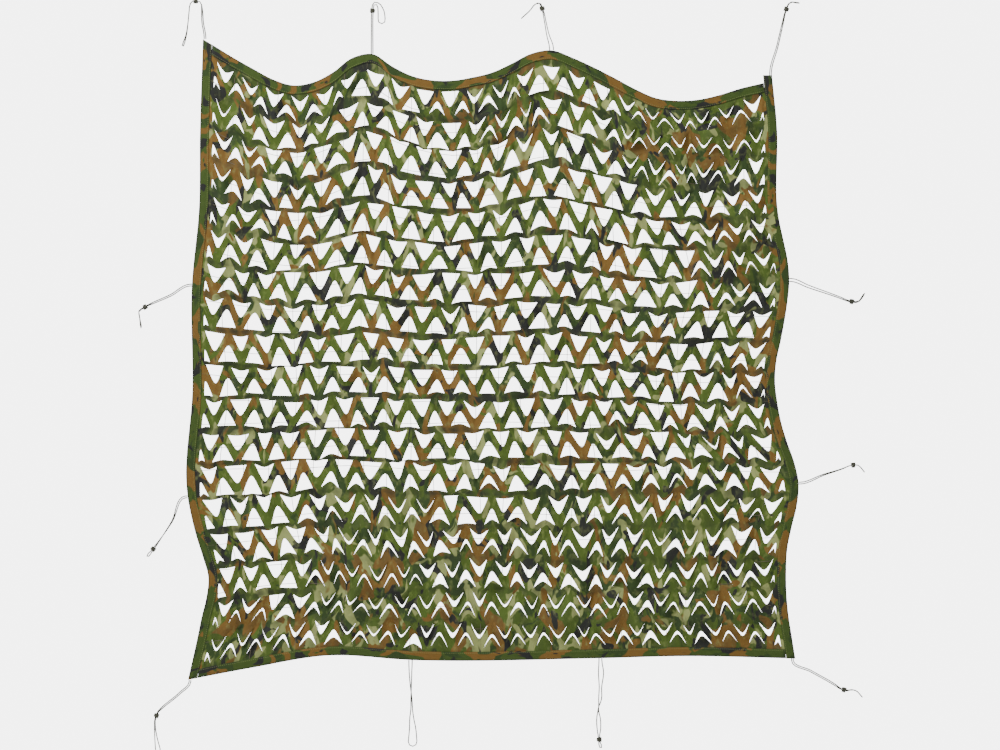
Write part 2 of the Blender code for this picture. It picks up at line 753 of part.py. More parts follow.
def make_ties():
    for name, rows in TIES.items():
        depth = float(lie(rows[0][1], rows[0][2]))
        values, knot = tie_rows(name, rows)
        make_cord("tie_" + name, evenly(cord_course(values, depth), CORD_STEP), CORD_FINISH)
        if knot:
            make_knot("knot_" + name, *knot, depth, CORD_FINISH)


def main():
    clear_scene()
    hem_set = hems()
    make_cloth("net_cloth", hem_set, CLOTH_FINISH)
    for side, hem in hem_set.items():
        make_tape("tape_" + side, hem, TAPE_FINISH)
    make_ties()


main()
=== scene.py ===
import bmesh
import bpy
import numpy as np
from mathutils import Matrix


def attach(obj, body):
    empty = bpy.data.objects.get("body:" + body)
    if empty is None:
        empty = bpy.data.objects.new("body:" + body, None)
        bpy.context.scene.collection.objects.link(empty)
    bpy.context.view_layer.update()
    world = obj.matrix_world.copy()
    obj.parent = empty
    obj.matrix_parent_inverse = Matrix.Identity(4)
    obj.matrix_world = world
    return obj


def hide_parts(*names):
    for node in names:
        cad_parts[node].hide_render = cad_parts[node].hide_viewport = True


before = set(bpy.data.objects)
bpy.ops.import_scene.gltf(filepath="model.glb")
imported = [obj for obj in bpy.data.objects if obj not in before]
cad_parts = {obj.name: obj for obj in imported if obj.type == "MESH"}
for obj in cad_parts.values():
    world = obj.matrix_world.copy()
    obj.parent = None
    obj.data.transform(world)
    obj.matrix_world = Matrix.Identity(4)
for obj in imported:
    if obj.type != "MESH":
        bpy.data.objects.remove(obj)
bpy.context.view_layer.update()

bl_info = {
    "name": "Camouflage net",
    "version": (1, 0, 0),
    "blender": (4, 5, 0),
    "location": "View3D > Sidebar > Net",
    "description": "Slit camouflage net with taped edges, cord ties and support threads",
    "category": "Object",
}

# Cloth and tape sizes shared with the solids, in metres.
CLOTH_THICKNESS = 0.0012
TAPE_WIDTH = 0.030
TAPE_WALL = 0.0010
SLOT_FIT = 0.0004
TUCK = 0.020
HEM_MARGIN = 0.002
TAPE_END_GAP = 0.0005
PIECE_GAP = 0.0003
# Hem stations, and how the side hems lean and the sheet flattens near the corners.
STATION_STEP = 0.070
CORNER_STATION = 0.075
TOP_LEFT_LEAN = -0.60
BOTTOM_LEFT_LEAN = 0.18
LEAN_REACH = 0.15
CORNER_TRIES = 5
CORNER_FLAT = 0.085
CORNER_FADE = 0.25
# Rows and columns of the slit pattern, and how fast the hems' course fades inwards.
COLUMNS = 22
ROWS = 18
EDGE_HOLD = 6
EDGE_FADE = 3
NET_LEFT, NET_RIGHT = -0.945, 0.935
NET_TOP, NET_BOTTOM = -0.030, -1.925
# Cords and their knots.
CORD_DIAMETER = 0.004
CORD_STEP = 3 * CORD_DIAMETER
STRAIGHT_OUT = 0.006
SPAN_STEPS = 12
EYE_STEPS = 7
KNOT_LEAD = 0.011
KNOT_RADIUS = 0.0095
KNOT_LENGTH = 0.017
KNOT_TURNS = 3.2
KNOT_POINTS = 72
KNOT_SIDES = 10
KNOT_END_SHARE = 0.86
THREAD_SIDES = 4
# Where a hem's row keeps its x and z.
X, Z = 1, 2

# The net's make: points to an arm of a zigzag strip and to half the chord between two
# arms, how its joints, tips and strips vary, and how far the cloth twists and crumples.
ARM_STEPS = 7
CHORD_STEPS = 4
SEED = 11
JOINT_SHAKE = (0.0095, 0.0075)
TIP_ROUND = 0.105
TIP_DEPTH = 0.70
CHORD_WIDTHS = (0.009, 0.024)
MOST_ARM_SHARE = 0.34
MOST_CHORD_SHARE = 0.20
MOST_SLACK = 0.86
SLACK_SPREAD = (-0.16, 0.22)
LOOSE_CELLS = 0.10
LOOSE_SLACK = 0.35
SLACK_RIM = 1.35
SLACK_RIM_WIDTH = 0.7
MOST_TWIST = 1.8
FORWARD_ROLLS = 0.75
ROLL_SPREAD = (0.5, 1.3)
ROLL_AT_REST = 0.6
EDGE_CALM = 0.5
CHORD_SWELL = 0.35
TWIST_DEPTH = 0.0070
TONGUE_DEPTH = 0.008
CRUMPLE_DEPTH = 0.0025
SLACK_CRUMPLE = 0.0050
CRUMPLE_WAVES = 9
CRUMPLE_LENGTH = 0.11
CRUMPLE_SEED = 3
# How dark the painted shade on a crease is: in the middle of a chord, on the three rings about a gap,
# and how far it fades as the gap closes.
CHORD_CREASE_SHADE = (0.35, 0.65)
RING_CREASE_SHADE = (1.0, 0.85, 0.55)
CREASE_SHADE_CLOSED = 0.75
KEYS_PER_METRE = 2e5
TUCKED_WIDTH = 0.014
# The print's size on the cloth's even rows.
FLAT_SIZE = (2.0, 1.20)
# Support threads: spaces between them, how far they wander and how they end in the tape.
THREADS_ACROSS = 25
THREADS_DOWN = 25
THREAD_STEPS = 70
THREAD_BEHIND = 0.006
THREAD_WANDER = 0.003
THREAD_RISE = 12
THREAD_TUCK = 0.012
DEPTH_RANGE = (-0.0320, 0.0215)
# The tape's cross section: share of its width in from the fold, and depth as a share
# of its half thickness. Its last four corners are the slot that holds the cloth.
TAPE_PROFILE = (
    (1, -1), (0.86, -0.95), (0.82, -0.95), (0.5, -1), (0.2, -1), (0.05, -0.8), (0, -0.35),
    (0, 0.35), (0.05, 0.8), (0.2, 1), (0.5, 1), (0.82, 0.95), (0.86, 0.95), (1, 1),
)
TAPE_STEPS = 6
# Puckers along the tape: height, length of one wave and phase.
PUCKERS = ((0.0005, 0.043, 0), (0.0004, 0.019, 1))
# Patches of the print from the ground up: colour, where in the noise it starts, scale,
# detail, distortion, level above which the patch shows and softness of its rim.
PATCHES = (
    ("dark", (3, 1, 0), 13, 3, 0.6, 0.54, 0.03),
    ("pale", (1, 9, 0), 19, 2, 0.6, 0.585, 0.03),
    ("brown", (7, 5, 0), 12, 2, 0.8, 0.555, 0.02),
    ("black", (5, 2, 0), 16, 2, 0.7, 0.605, 0.02),
)
STITCH_IN = 0.0257
STITCH_LENGTH = 0.007
# Near-black colour of the painted shade laid on the chords' creases.
CREASE_SHADE_COLOUR = (0.012, 0.016, 0.006, 1.0)
FOLD_COLOUR = (0.01, 0.012, 0.006, 1.0)
# The stage: a room whose light and whose look to the camera differ, floor and lamps.
ROOM_LIGHT = 0.55
ROOM_SEEN = 7.0
FLOOR_RADIUS = 4
FLOOR_POINTS = 96
CAMERA_LENS = 324.0
CAMERA_PLACE = (0.0333, -30.0, -1.0067)
LAMPS = (
    ("key_light", (-2.6, -2.6, 3.2), 1.6, 420.0),
    ("fill_light", (3.0, -4.0, 0.0), 3.0, 60.0),
)
LAMP_AIM = (0.0, 0.0, -1.0)

# Outer edge of each hem: place, x, z.
HEM_TOP = (
    ("left corner", -0.957, 0.113),
    ("slope", -0.800, 0.020),
    ("slope", -0.700, -0.030),
    ("left bay", -0.640, -0.042),
    ("rise", -0.533, -0.003),
    ("shoulder", -0.443, 0.058),
    ("second tie", -0.393, 0.064),
    ("slope", -0.327, 0.023),
    ("slope", -0.250, -0.013),
    ("middle bay", -0.163, -0.026),
    ("middle of the hem", 0.000, 0.000),
    ("third tie", 0.205, 0.076),
    ("slope", 0.300, 0.040),
    ("slope", 0.460, -0.040),
    ("slope", 0.520, -0.072),
    ("right bay", 0.700, -0.088),
    ("rise", 0.840, -0.050),
    ("right corner", 0.940, -0.026),
)
HEM_LEFT = (
    ("top corner", -0.957, 0.113),
    ("straight", -0.967, -0.200),
    ("straight", -0.970, -0.450),
    ("first tie", -0.994, -0.707),
    ("straight", -0.992, -1.050),
    ("second tie", -1.008, -1.413),
    ("draw in", -0.971, -1.573),
    ("waist", -0.940, -1.673),
    ("draw out", -0.965, -1.830),
    ("bottom corner", -1.007, -2.023),
)
HEM_RIGHT = (
    ("top corner", 0.940, -0.007),
    ("slope", 0.957, -0.183),
    ("straight", 0.957, -0.440),
    ("first tie", 0.998, -0.690),
    ("slope", 0.980, -0.840),
    ("draw in", 0.950, -1.010),
    ("slope", 0.970, -1.160),
    ("second tie", 1.029, -1.367),
    ("slope", 0.990, -1.600),
    ("straight", 0.989, -1.743),
    ("bottom corner", 1.018, -1.952),
)
HEM_BOTTOM = (
    ("left corner", -1.007, -2.023),
    ("slope", -0.800, -1.984),
    ("rise", -0.540, -1.942),
    ("first tie", -0.265, -1.957),
    ("second tie", 0.368, -1.951),
    ("straight", 0.650, -1.944),
    ("right corner", 1.018, -1.952),
)
TIES_TOP = (-0.393, 0.205)
TIES_LEFT = (-0.707, -1.413)
TIES_RIGHT = (-0.690, -1.367)
TIES_BOTTOM = (-0.265, 0.368)

# Slack that has gathered into soft folds: name, x, z, turn in degrees, half length,
# half width, depth towards the front.
FOLDS = (
    ("upper right bunch", 0.66, -0.22, -25, 0.26, 0.075, 0.020),
    ("right upper slack", 0.80, -0.60, 60, 0.24, 0.070, 0.018),
    ("right middle belly", 0.70, -1.20, 85, 0.40, 0.160, 0.010),
    ("left belly", -0.62, -1.05, 90, 0.50, 0.220, -0.012),
    ("middle ridge", 0.02, -1.30, 65, 0.45, 0.120, 0.012),
    ("lower left bunch", -0.40, -1.70, -30, 0.24, 0.070, 0.022),
    ("bottom middle roll", 0.20, -1.84, 4, 0.42, 0.055, 0.020),
    ("bottom right roll", 0.74, -1.82, -8, 0.32, 0.060, 0.022),
    ("bottom left corner", -0.80, -1.84, 20, 0.20, 0.080, -0.014),
    ("top middle hollow", -0.10, -0.30, 0, 0.40, 0.120, -0.010),
)

# Where the rows and columns are drawn aside: name, x, z, reach, pull in x, pull in z.
PULLS = (
    ("towards the second tie", -0.38, -0.12, 0.20, 0.000, 0.030),
    ("towards the third tie", 0.21, -0.12, 0.20, 0.000, 0.030),
    ("upper right slack", 0.68, -0.22, 0.22, 0.010, 0.045),
    ("right slack", 0.86, -0.62, 0.20, 0.020, 0.020),
    ("lower left slack", -0.40, -1.74, 0.20, 0.000, -0.035),
    ("bottom slack", 0.30, -1.80, 0.24, 0.000, -0.030),
    ("bottom right slack", 0.76, -1.78, 0.22, 0.000, -0.035),
)
# Where the net hangs slack and its gaps close to crescents: name, x, z, half width,
# half height, how far closed.
SLACK = (
    ("under the top hem, right", 0.66, -0.20, 0.26, 0.19, 0.95),
    ("right side", 0.84, -0.62, 0.16, 0.20, 0.60),
    ("right middle", 0.86, -1.20, 0.16, 0.30, 0.35),
    ("left upper edge", -0.86, -0.30, 0.12, 0.40, 0.45),
    ("under the third tie", 0.06, -0.14, 0.16, 0.12, 0.55),
    ("left of the second tie", -0.62, -0.10, 0.16, 0.10, 0.40),
    ("lower left", -0.40, -1.74, 0.20, 0.20, 0.90),
    ("lower middle left", -0.36, -1.52, 0.22, 0.16, 0.60),
    ("bottom middle", 0.16, -1.84, 0.44, 0.15, 0.85),
    ("lower middle", 0.22, -1.62, 0.40, 0.18, 0.50),
    ("bottom right", 0.76, -1.78, 0.28, 0.20, 0.75),
    ("lower right", 0.68, -1.52, 0.30, 0.20, 0.50),
    ("bottom left corner", -0.80, -1.90, 0.20, 0.12, 0.85),
)
# Each tie's doubled route from the hem to the eye at its end: x, z, the two strands'
# distance apart, and how far their pair is turned about the route, in degrees.
TIES = {
    "top_1": (
        ("exit", -0.9500, 0.1130, 0.0056, 0),
        ("run", -0.9580, 0.1700, 0.0050, 0),
        ("run", -0.9600, 0.2080, 0.0050, 45),
        ("over", -0.9630, 0.2310, 0.0050, 90),
        ("knot", -0.9810, 0.2400, 0.0050, 90),
        ("over", -0.9990, 0.2310, 0.0050, 90),
        ("fall", -1.0030, 0.2050, 0.0050, 90),
        ("fall", -1.0070, 0.1650, 0.0055, 90),
        ("fall", -1.0130, 0.1250, 0.0100, 80),
        ("eye", -1.0220, 0.0960, 0.0160, 70),
    ),
    "top_2": (
        ("exit", -0.3930, 0.0640, 0.0056, 0),
        ("run", -0.3930, 0.1430, 0.0050, 0),
        ("knot", -0.3915, 0.2080, 0.0050, 0),
        ("over", -0.3860, 0.2330, 0.0052, 0),
        ("over", -0.3740, 0.2300, 0.0080, 0),
        ("fall", -0.3640, 0.2080, 0.0190, 0),
        ("eye", -0.3610, 0.1760, 0.0240, 0),
    ),
    "top_3": (
        ("exit", 0.2050, 0.0760, 0.0130, 0),
        ("run", 0.1930, 0.1270, 0.0080, 0),
        ("run", 0.1830, 0.1770, 0.0050, 0),
        ("knot", 0.1740, 0.2150, 0.0050, 40),
        ("over", 0.1650, 0.2330, 0.0050, 70),
        ("over", 0.1520, 0.2300, 0.0060, 90),
        ("fall", 0.1330, 0.2080, 0.0100, 90),
        ("eye", 0.1100, 0.1870, 0.0160, 90),
    ),
    "top_4": (
        ("exit", 0.9350, -0.0070, 0.0056, 0),
        ("run", 0.9580, 0.0900, 0.0052, 20),
        ("run", 0.9770, 0.1720, 0.0050, 40),
        ("knot", 0.9880, 0.2130, 0.0050, 60),
        ("over", 1.0000, 0.2350, 0.0060, 80),
        ("eye", 1.0240, 0.2340, 0.0160, 80),
    ),
    "left_1": (
        ("exit", -0.9940, -0.7070, 0.0060, 0),
        ("run", -1.0660, -0.7420, 0.0052, 0),
        ("run", -1.1260, -0.7680, 0.0050, 30),
        ("knot", -1.1500, -0.7800, 0.0050, 60),
        ("turn", -1.1700, -0.7930, 0.0050, 80),
        ("fall", -1.1680, -0.8130, 0.0080, 90),
        ("eye", -1.1640, -0.8420, 0.0160, 80),
    ),
    "left_2": (
        ("exit", -1.0088, -1.4130, 0.0060, 0),
        ("run", -1.0600, -1.4950, 0.0050, 60),
        ("run", -1.1060, -1.5640, 0.0050, 120),
        ("knot", -1.1230, -1.5870, 0.0050, 150),
        ("eye", -1.1380, -1.6060, 0.0160, 120),
    ),
    "right_1": (
        ("exit", 0.9980, -0.6900, 0.0100, 0),
        ("run", 1.0600, -0.7110, 0.0080, 0),
        ("run", 1.1700, -0.7500, 0.0050, 20),
        ("knot", 1.2060, -0.7620, 0.0050, 40),
        ("turn", 1.2290, -0.7610, 0.0056, 70),
        ("eye", 1.2440, -0.7410, 0.0160, 80),
    ),
    "right_2": (
        ("exit", 1.0290, -1.3670, 0.0060, 0),
        ("run", 1.1100, -1.3400, 0.0052, 40),
        ("run", 1.1800, -1.3170, 0.0050, 80),
        ("knot", 1.2110, -1.3070, 0.0050, 90),
        ("turn", 1.2310, -1.3100, 0.0060, 90),
        ("eye", 1.2430, -1.3240, 0.0160, 90),
    ),
    "bottom_1": (
        ("exit", -1.0000, -2.0230, 0.0056, 0),
        ("run", -1.0350, -2.0680, 0.0050, 0),
        ("run", -1.0950, -2.1180, 0.0050, 30),
        ("knot", -1.1120, -2.1420, 0.0050, 60),
        ("fall", -1.1170, -2.1760, 0.0052, 60),
        ("fall", -1.1140, -2.2120, 0.0080, 30),
        ("eye", -1.1070, -2.2560, 0.0160, 0),
    ),
    "bottom_2": (
        ("exit", -0.2650, -1.9570, 0.0110, 0),
        ("fall", -0.2650, -2.0000, 0.0085, 0),
        ("fall", -0.2640, -2.0370, 0.0056, 40),
        ("fall", -0.2620, -2.0850, 0.0052, 130),
        ("fall", -0.2610, -2.1200, 0.0056, 180),
        ("fall", -0.2610, -2.1500, 0.0130, 180),
        ("fall", -0.2580, -2.1850, 0.0210, 180),
        ("eye", -0.2580, -2.2300, 0.0290, 180),
    ),
    "bottom_3": (
        ("exit", 0.3680, -1.9510, 0.0095, 0),
        ("fall", 0.3700, -1.9980, 0.0170, 0),
        ("fall", 0.3680, -2.0500, 0.0080, 0),
        ("fall", 0.3670, -2.0870, 0.0110, 30),
        ("fall", 0.3610, -2.1230, 0.0054, 110),
        ("fall", 0.3620, -2.1560, 0.0130, 180),
        ("fall", 0.3630, -2.1900, 0.0110, 180),
        ("knot", 0.3640, -2.2220, 0.0050, 210),
        ("eye", 0.3680, -2.2430, 0.0160, 240),
    ),
    "bottom_4": (
        ("exit", 1.0080, -1.9520, 0.0056, 0),
        ("run", 1.0700, -1.9940, 0.0052, 0),
        ("run", 1.1550, -2.0430, 0.0050, 30),
        ("knot", 1.1800, -2.0560, 0.0050, 60),
        ("turn", 1.2010, -2.0560, 0.0060, 80),
        ("turn", 1.2220, -2.0600, 0.0090, 90),
        ("eye", 1.2360, -2.0750, 0.0160, 90),
    ),
}


def cubic(f, width, here, there, slope_here, slope_there):
    """Cubic from here to there at share f of a span of that width, with a slope at each end."""
    start = (2 * f**3 - 3 * f**2 + 1) * here + (f**3 - 2 * f**2 + f) * width * slope_here
    end = (3 * f**2 - 2 * f**3) * there + (f**3 - f**2) * width * slope_there
    return start + end


def through(rows, along, across, at):
    """Column across as a smooth (cubic) function of column along."""
    order = np.argsort([row[along] for row in rows])
    a = np.array([rows[i][along] for i in order])
    b = np.array([rows[i][across] for i in order])
    slope = np.gradient(b, a)
    at = np.clip(at, a[0], a[-1])
    k = np.clip(np.searchsorted(a, at) - 1, 0, len(a) - 2)
    width = a[k + 1] - a[k]
    return cubic((at - a[k]) / width, width, b[k], b[k + 1], slope[k], slope[k + 1])


def ramp(f):
    """Smooth step from 0 to 1 as f goes from 0 to 1."""
    f = np.clip(f, 0.0, 1.0)
    return f * f * (3 - 2 * f)


def corners():
    """The net's four corners as x, z."""
    return [
        np.array((rows[end][X], rows[end][Z]))
        for rows in (HEM_LEFT, HEM_RIGHT)
        for end in (0, -1)
    ]


def lie(x, z):
    """How far the sheet lies from the plane Y = 0 at x, z. It is flat at the four corners."""
    x, z = np.asarray(x, float), np.asarray(z, float)
    depth = np.zeros_like(x)
    for _, fold_x, fold_z, turn, half_length, half_width, front in FOLDS:
        c, s = np.cos(np.radians(turn)), np.sin(np.radians(turn))
        along = ((x - fold_x) * c + (z - fold_z) * s) / half_length
        across = ((z - fold_z) * c - (x - fold_x) * s) / half_width
        depth -= front * np.exp(-(along**2) - across**2)
    for corner_x, corner_z in corners():
        away = np.hypot(x - corner_x, z - corner_z)
        depth = depth * ramp((away - CORNER_FLAT) / CORNER_FADE)
    return depth


def spaced(start, ties, end):
    """Stations along a hem: its ends, one near each, every tie, and even steps between."""
    way = np.sign(end - start)
    stops = (start + way * CORNER_STATION, *ties, end - way * CORNER_STATION)
    found = [start]
    for a, b in zip(stops, stops[1:]):
        steps = max(1, round(abs(b - a) / STATION_STEP))
        found += list(np.linspace(a, b, steps, endpoint=False))
    return np.array(found + [stops[-1], end])


def level_hem(rows, start, ties, end, inward):
    """Top or bottom hem: outer and inner ends of its cross lines, which stand upright."""
    x = spaced(start, ties, end)
    z = through(rows, X, Z, x)
    width = TAPE_WIDTH * np.hypot(1.0, np.gradient(z, x))
    outer = np.stack([x, z], axis=1)
    return outer, np.stack([x, z + inward * width], axis=1)


def upright_hem(rows, ties, inward, top_lean, bottom_lean):
    """Side hem: its cross lines lie level, and lean at its ends to follow the other hems."""
    z = spaced(rows[0][Z], ties, rows[-1][Z])
    x = through(rows, Z, X, z)
    width = TAPE_WIDTH * np.hypot(1.0, np.gradient(x, z))
    lean = top_lean * ramp(1 - (rows[0][Z] - z) / LEAN_REACH)
    lean = lean + bottom_lean * ramp(1 - (z - rows[-1][Z]) / LEAN_REACH)
    outer = np.stack([x, z], axis=1)
    return outer, outer + np.stack([inward * width, lean * width], axis=1)


def against(level, upright, tip, way):
    """Ends a level hem against an upright one: its last cross line follows that tape's edge."""
    inner = upright[1][np.argsort(upright[1][:, 1])]
    for line in level:
        line[tip, 0] = np.interp(line[tip, 1], inner[:, 1], inner[:, 0]) + way * TAPE_END_GAP


def hems():
    """The four hems as (outer, inner) cross lines, the level ones ending at the upright ones."""
    left = upright_hem(HEM_LEFT, TIES_LEFT, 1, TOP_LEFT_LEAN, BOTTOM_LEFT_LEAN)
    right = upright_hem(HEM_RIGHT, TIES_RIGHT, -1, 0.0, 0.0)
    found = {"left": left, "right": right}
    for name, rows, ties, end, inward in (
        ("top", HEM_TOP, TIES_TOP, 0, -1),
        ("bottom", HEM_BOTTOM, TIES_BOTTOM, -1, 1),
    ):
        found[name] = level_hem(rows, left[1][end, 0], ties, right[1][end, 0], inward)
        against(found[name], left, 0, 1)
        against(found[name], right, -1, -1)
    return found


def inside_hem(hem, width):
    """Line that runs a given width in from a hem's fold."""
    outer, inner = hem
    return outer + (inner - outer) * (width / TAPE_WIDTH)


def cloth_corner(hem_set, side, end, edge, width):
    """Where the lines a given width in from an upright and a level fold meet."""
    upright = inside_hem(hem_set[side], width)
    level = inside_hem(hem_set[edge], width)
    order = np.argsort(upright[:, 1])
    tip, beside = (0, 1) if side == "left" else (-1, -2)
    run, rise = level[tip] - level[beside]
    x = upright[end, 0]
    for _ in range(CORNER_TRIES):
        z = level[tip, 1] + rise / run * (x - level[tip, 0])
        x = np.interp(z, upright[order, 1], upright[order, 0])
    return np.array((x, z))


def hem_line(hem_set, name, share, width):
    """Line a given width in from one hem's fold, at shares of its length between its corners."""
    middle = inside_hem(hem_set[name], width)[1:-1]
    if name in ("top", "bottom"):
        end = 0 if name == "top" else -1
        ends = [cloth_corner(hem_set, side, end, name, width) for side in ("left", "right")]
        along, across = 0, 1
    else:
        edges = ((0, "top"), (-1, "bottom"))
        ends = [cloth_corner(hem_set, name, end, edge, width) for end, edge in edges]
        along, across = 1, 0
    course = np.vstack([ends[0], middle, ends[1]])
    at = ends[0][along] + (ends[1][along] - ends[0][along]) * share
    order = np.argsort(course[:, along])
    beside = np.interp(at, course[order, along], course[order, across])
    return np.stack([at, beside] if along == 0 else [beside, at], axis=-1)


def hem_depth(hem_set, name, share):
    """How deep a hem lies at shares of its length."""
    outer = hem_set[name][0]
    return np.interp(share, np.linspace(0, 1, len(outer)), lie(outer[:, 0], outer[:, 1]))


def net_points(hem_set, u, v):
    """Place of the net's column share u and row share v.

    Rows and columns are even and straight, except that what the tape's inner lines bend
    away from them fades inwards as a cube. Each pull then draws its neighbourhood aside,
    fading to nothing at the tape.
    """
    u, v = np.broadcast_arrays(np.asarray(u, float), np.asarray(v, float))
    width = TAPE_WIDTH + HEM_MARGIN

    def even(across, down):
        """Place in the plain rectangle."""
        x = NET_LEFT + (NET_RIGHT - NET_LEFT) * across
        z = NET_TOP + (NET_BOTTOM - NET_TOP) * down
        return np.stack(np.broadcast_arrays(x, z), axis=-1)

    place = even(u, v)
    reach = {"left": (1 - u) ** EDGE_FADE, "right": u**EDGE_FADE}
    reach.update({"top": (1 - v) ** EDGE_FADE, "bottom": v**EDGE_FADE})
    at = {"left": (0, v), "right": (1, v), "top": (u, 0), "bottom": (u, 1)}
    for name, across_down in at.items():
        share = v if name in ("left", "right") else u
        bend = hem_line(hem_set, name, share, width) - even(*across_down)
        place = place + reach[name][..., None] * bend
    for side in ("left", "right"):
        for end, edge in ((0, "top"), (-1, "bottom")):
            point = cloth_corner(hem_set, side, end, edge, width)
            both = reach[side] * reach[edge]
            place = place - both[..., None] * (point - even(at[side][0], at[edge][1]))
    free = np.clip(EDGE_HOLD * u, 0, 1) * np.clip(EDGE_HOLD * (1 - u), 0, 1)
    free = free * np.clip(EDGE_HOLD * v, 0, 1) * np.clip(EDGE_HOLD * (1 - v), 0, 1)
    moved = place.copy()
    for _, x, z, radius, pull_x, pull_z in PULLS:
        near = free * np.exp(-((place[..., 0] - x) ** 2 + (place[..., 1] - z) ** 2) / radius**2)
        moved = moved + near[..., None] * np.array((pull_x, pull_z))
    return moved


def slack_at(x, z):
    """How far the gaps at x, z are closed: the strongest slack zone, each fading at its rim."""
    found = np.zeros(np.shape(x))
    for _, cx, cz, half_width, half_height, closed in SLACK:
        away = np.hypot((x - cx) / half_width, (z - cz) / half_height)
        found = np.maximum(found, closed * ramp((SLACK_RIM - away) / SLACK_RIM_WIDTH))
    return found


def ripples(x, z, waves, scale, seed):
    """Smooth random height: plane sine waves of random heading and phase, about scale long."""
    rng = np.random.default_rng(seed)
    total = np.zeros(np.shape(x))
    for _ in range(waves):
        heading, phase = rng.uniform(0, 2 * np.pi, 2)
        k = 2 * np.pi / (scale * rng.uniform(0.7, 1.5))
        total += np.sin(k * (x * np.cos(heading) + z * np.sin(heading)) + phase)
    return total / np.sqrt(waves)


def cloth_depth(hem_set, p):
    """Depth of the cloth's middle line at rows of x, z, u, v.

    It is the folds plus crumples, and over the outermost cell it goes over to the tape's depth.
    """
    x, z, u, v = np.moveaxis(p, -1, 0)
    u, v = np.clip(u, 0, 1), np.clip(v, 0, 1)
    slack = slack_at(x, z)
    crumples = ripples(x, z, CRUMPLE_WAVES, CRUMPLE_LENGTH, CRUMPLE_SEED)
    free = lie(x, z) + crumples * (CRUMPLE_DEPTH + SLACK_CRUMPLE * slack)
    near = [
        (ramp(1 - v * ROWS), hem_depth(hem_set, "top", u)),
        (ramp(1 - (1 - v) * ROWS), hem_depth(hem_set, "bottom", u)),
        (ramp(1 - u * COLUMNS), hem_depth(hem_set, "left", v)),
        (ramp(1 - (1 - u) * COLUMNS), hem_depth(hem_set, "right", v)),
    ]
    weight = sum(w for w, _ in near)
    hem = sum(w * d for w, d in near) / np.maximum(weight, 1e-9)
    share = np.clip(weight, 0, 1)
    return free * (1 - share) + hem * share


def gap_rings(a, m, b, t, widths, slack):
    """A ring of points on the middle lines of each gap's strips, and one along the gap's edge.

    a, b and t are the corners of its triangle as rows of x, z, u, v, m its base's middle or
    None. In the shares (p, q) of the sides t-a and t-b, the edge along the arms is the
    hyperbola p q = k k inset by half a strip, which rounds its tip. The base's edge runs
    straight between the hyperbola's ends and droops towards it by the slack.
    """
    ea, eb = (a - t), (b - t)
    cross = np.abs(ea[:, 0] * eb[:, 1] - ea[:, 1] * eb[:, 0])
    size = [np.hypot(side[:, 0], side[:, 1]) for side in (eb, ea, a - b)]
    arm_width, chord_width = widths
    p_in = np.minimum(arm_width / 2 * size[0] / cross, MOST_ARM_SHARE)
    q_in = np.minimum(arm_width / 2 * size[1] / cross, MOST_ARM_SHARE)
    base_in = np.minimum(chord_width / 2 * size[2] / cross, MOST_CHORD_SHARE)
    deep = 1 - base_in - p_in - q_in
    k = TIP_ROUND * np.minimum(1, deep / TIP_DEPTH)
    reach = np.arccosh(deep / (2 * k))
    halves = 1 if m is None else 2
    f = np.arange(ARM_STEPS) / ARM_STEPS
    g = np.arange(CHORD_STEPS) / CHORD_STEPS
    stops = [(a, t, f), (t, b, f)] + ([(b, a, g)] if m is None else [(b, m, g), (m, a, g)])
    outer = np.concatenate(
        [s[:, None] + (e - s)[:, None] * w[None, :, None] for s, e, w in stops], axis=1
    )
    arm = 1 - np.arange(2 * ARM_STEPS) / ARM_STEPS
    q = reach[:, None] * arm[None]
    arm_p, arm_q = k[:, None] * np.exp(q), k[:, None] * np.exp(-q)
    start = (k * np.exp(-reach))[:, None]
    along = (np.arange(halves * CHORD_STEPS) / (halves * CHORD_STEPS))[None]
    lean = 2 * (start + (deep[:, None] - 2 * start) * along) - deep[:, None]
    round_sum = np.sqrt(lean**2 + 4 * k[:, None] ** 2)
    base_sum = deep[:, None] - slack[:, None] * (deep[:, None] - round_sum)
    share_p = np.concatenate([arm_p, (base_sum + lean) / 2], axis=1) + p_in[:, None]
    share_q = np.concatenate([arm_q, (base_sum - lean) / 2], axis=1) + q_in[:, None]
    edge = t[:, None] + share_p[..., None] * ea[:, None] + share_q[..., None] * eb[:, None]
    lift_arm = np.sin(np.pi * np.abs(arm))[None] * np.ones((len(a), 1))
    lift_base = np.sin(np.pi * along) * np.ones((len(a), 1))
    return outer, edge, arm, lift_arm, lift_base


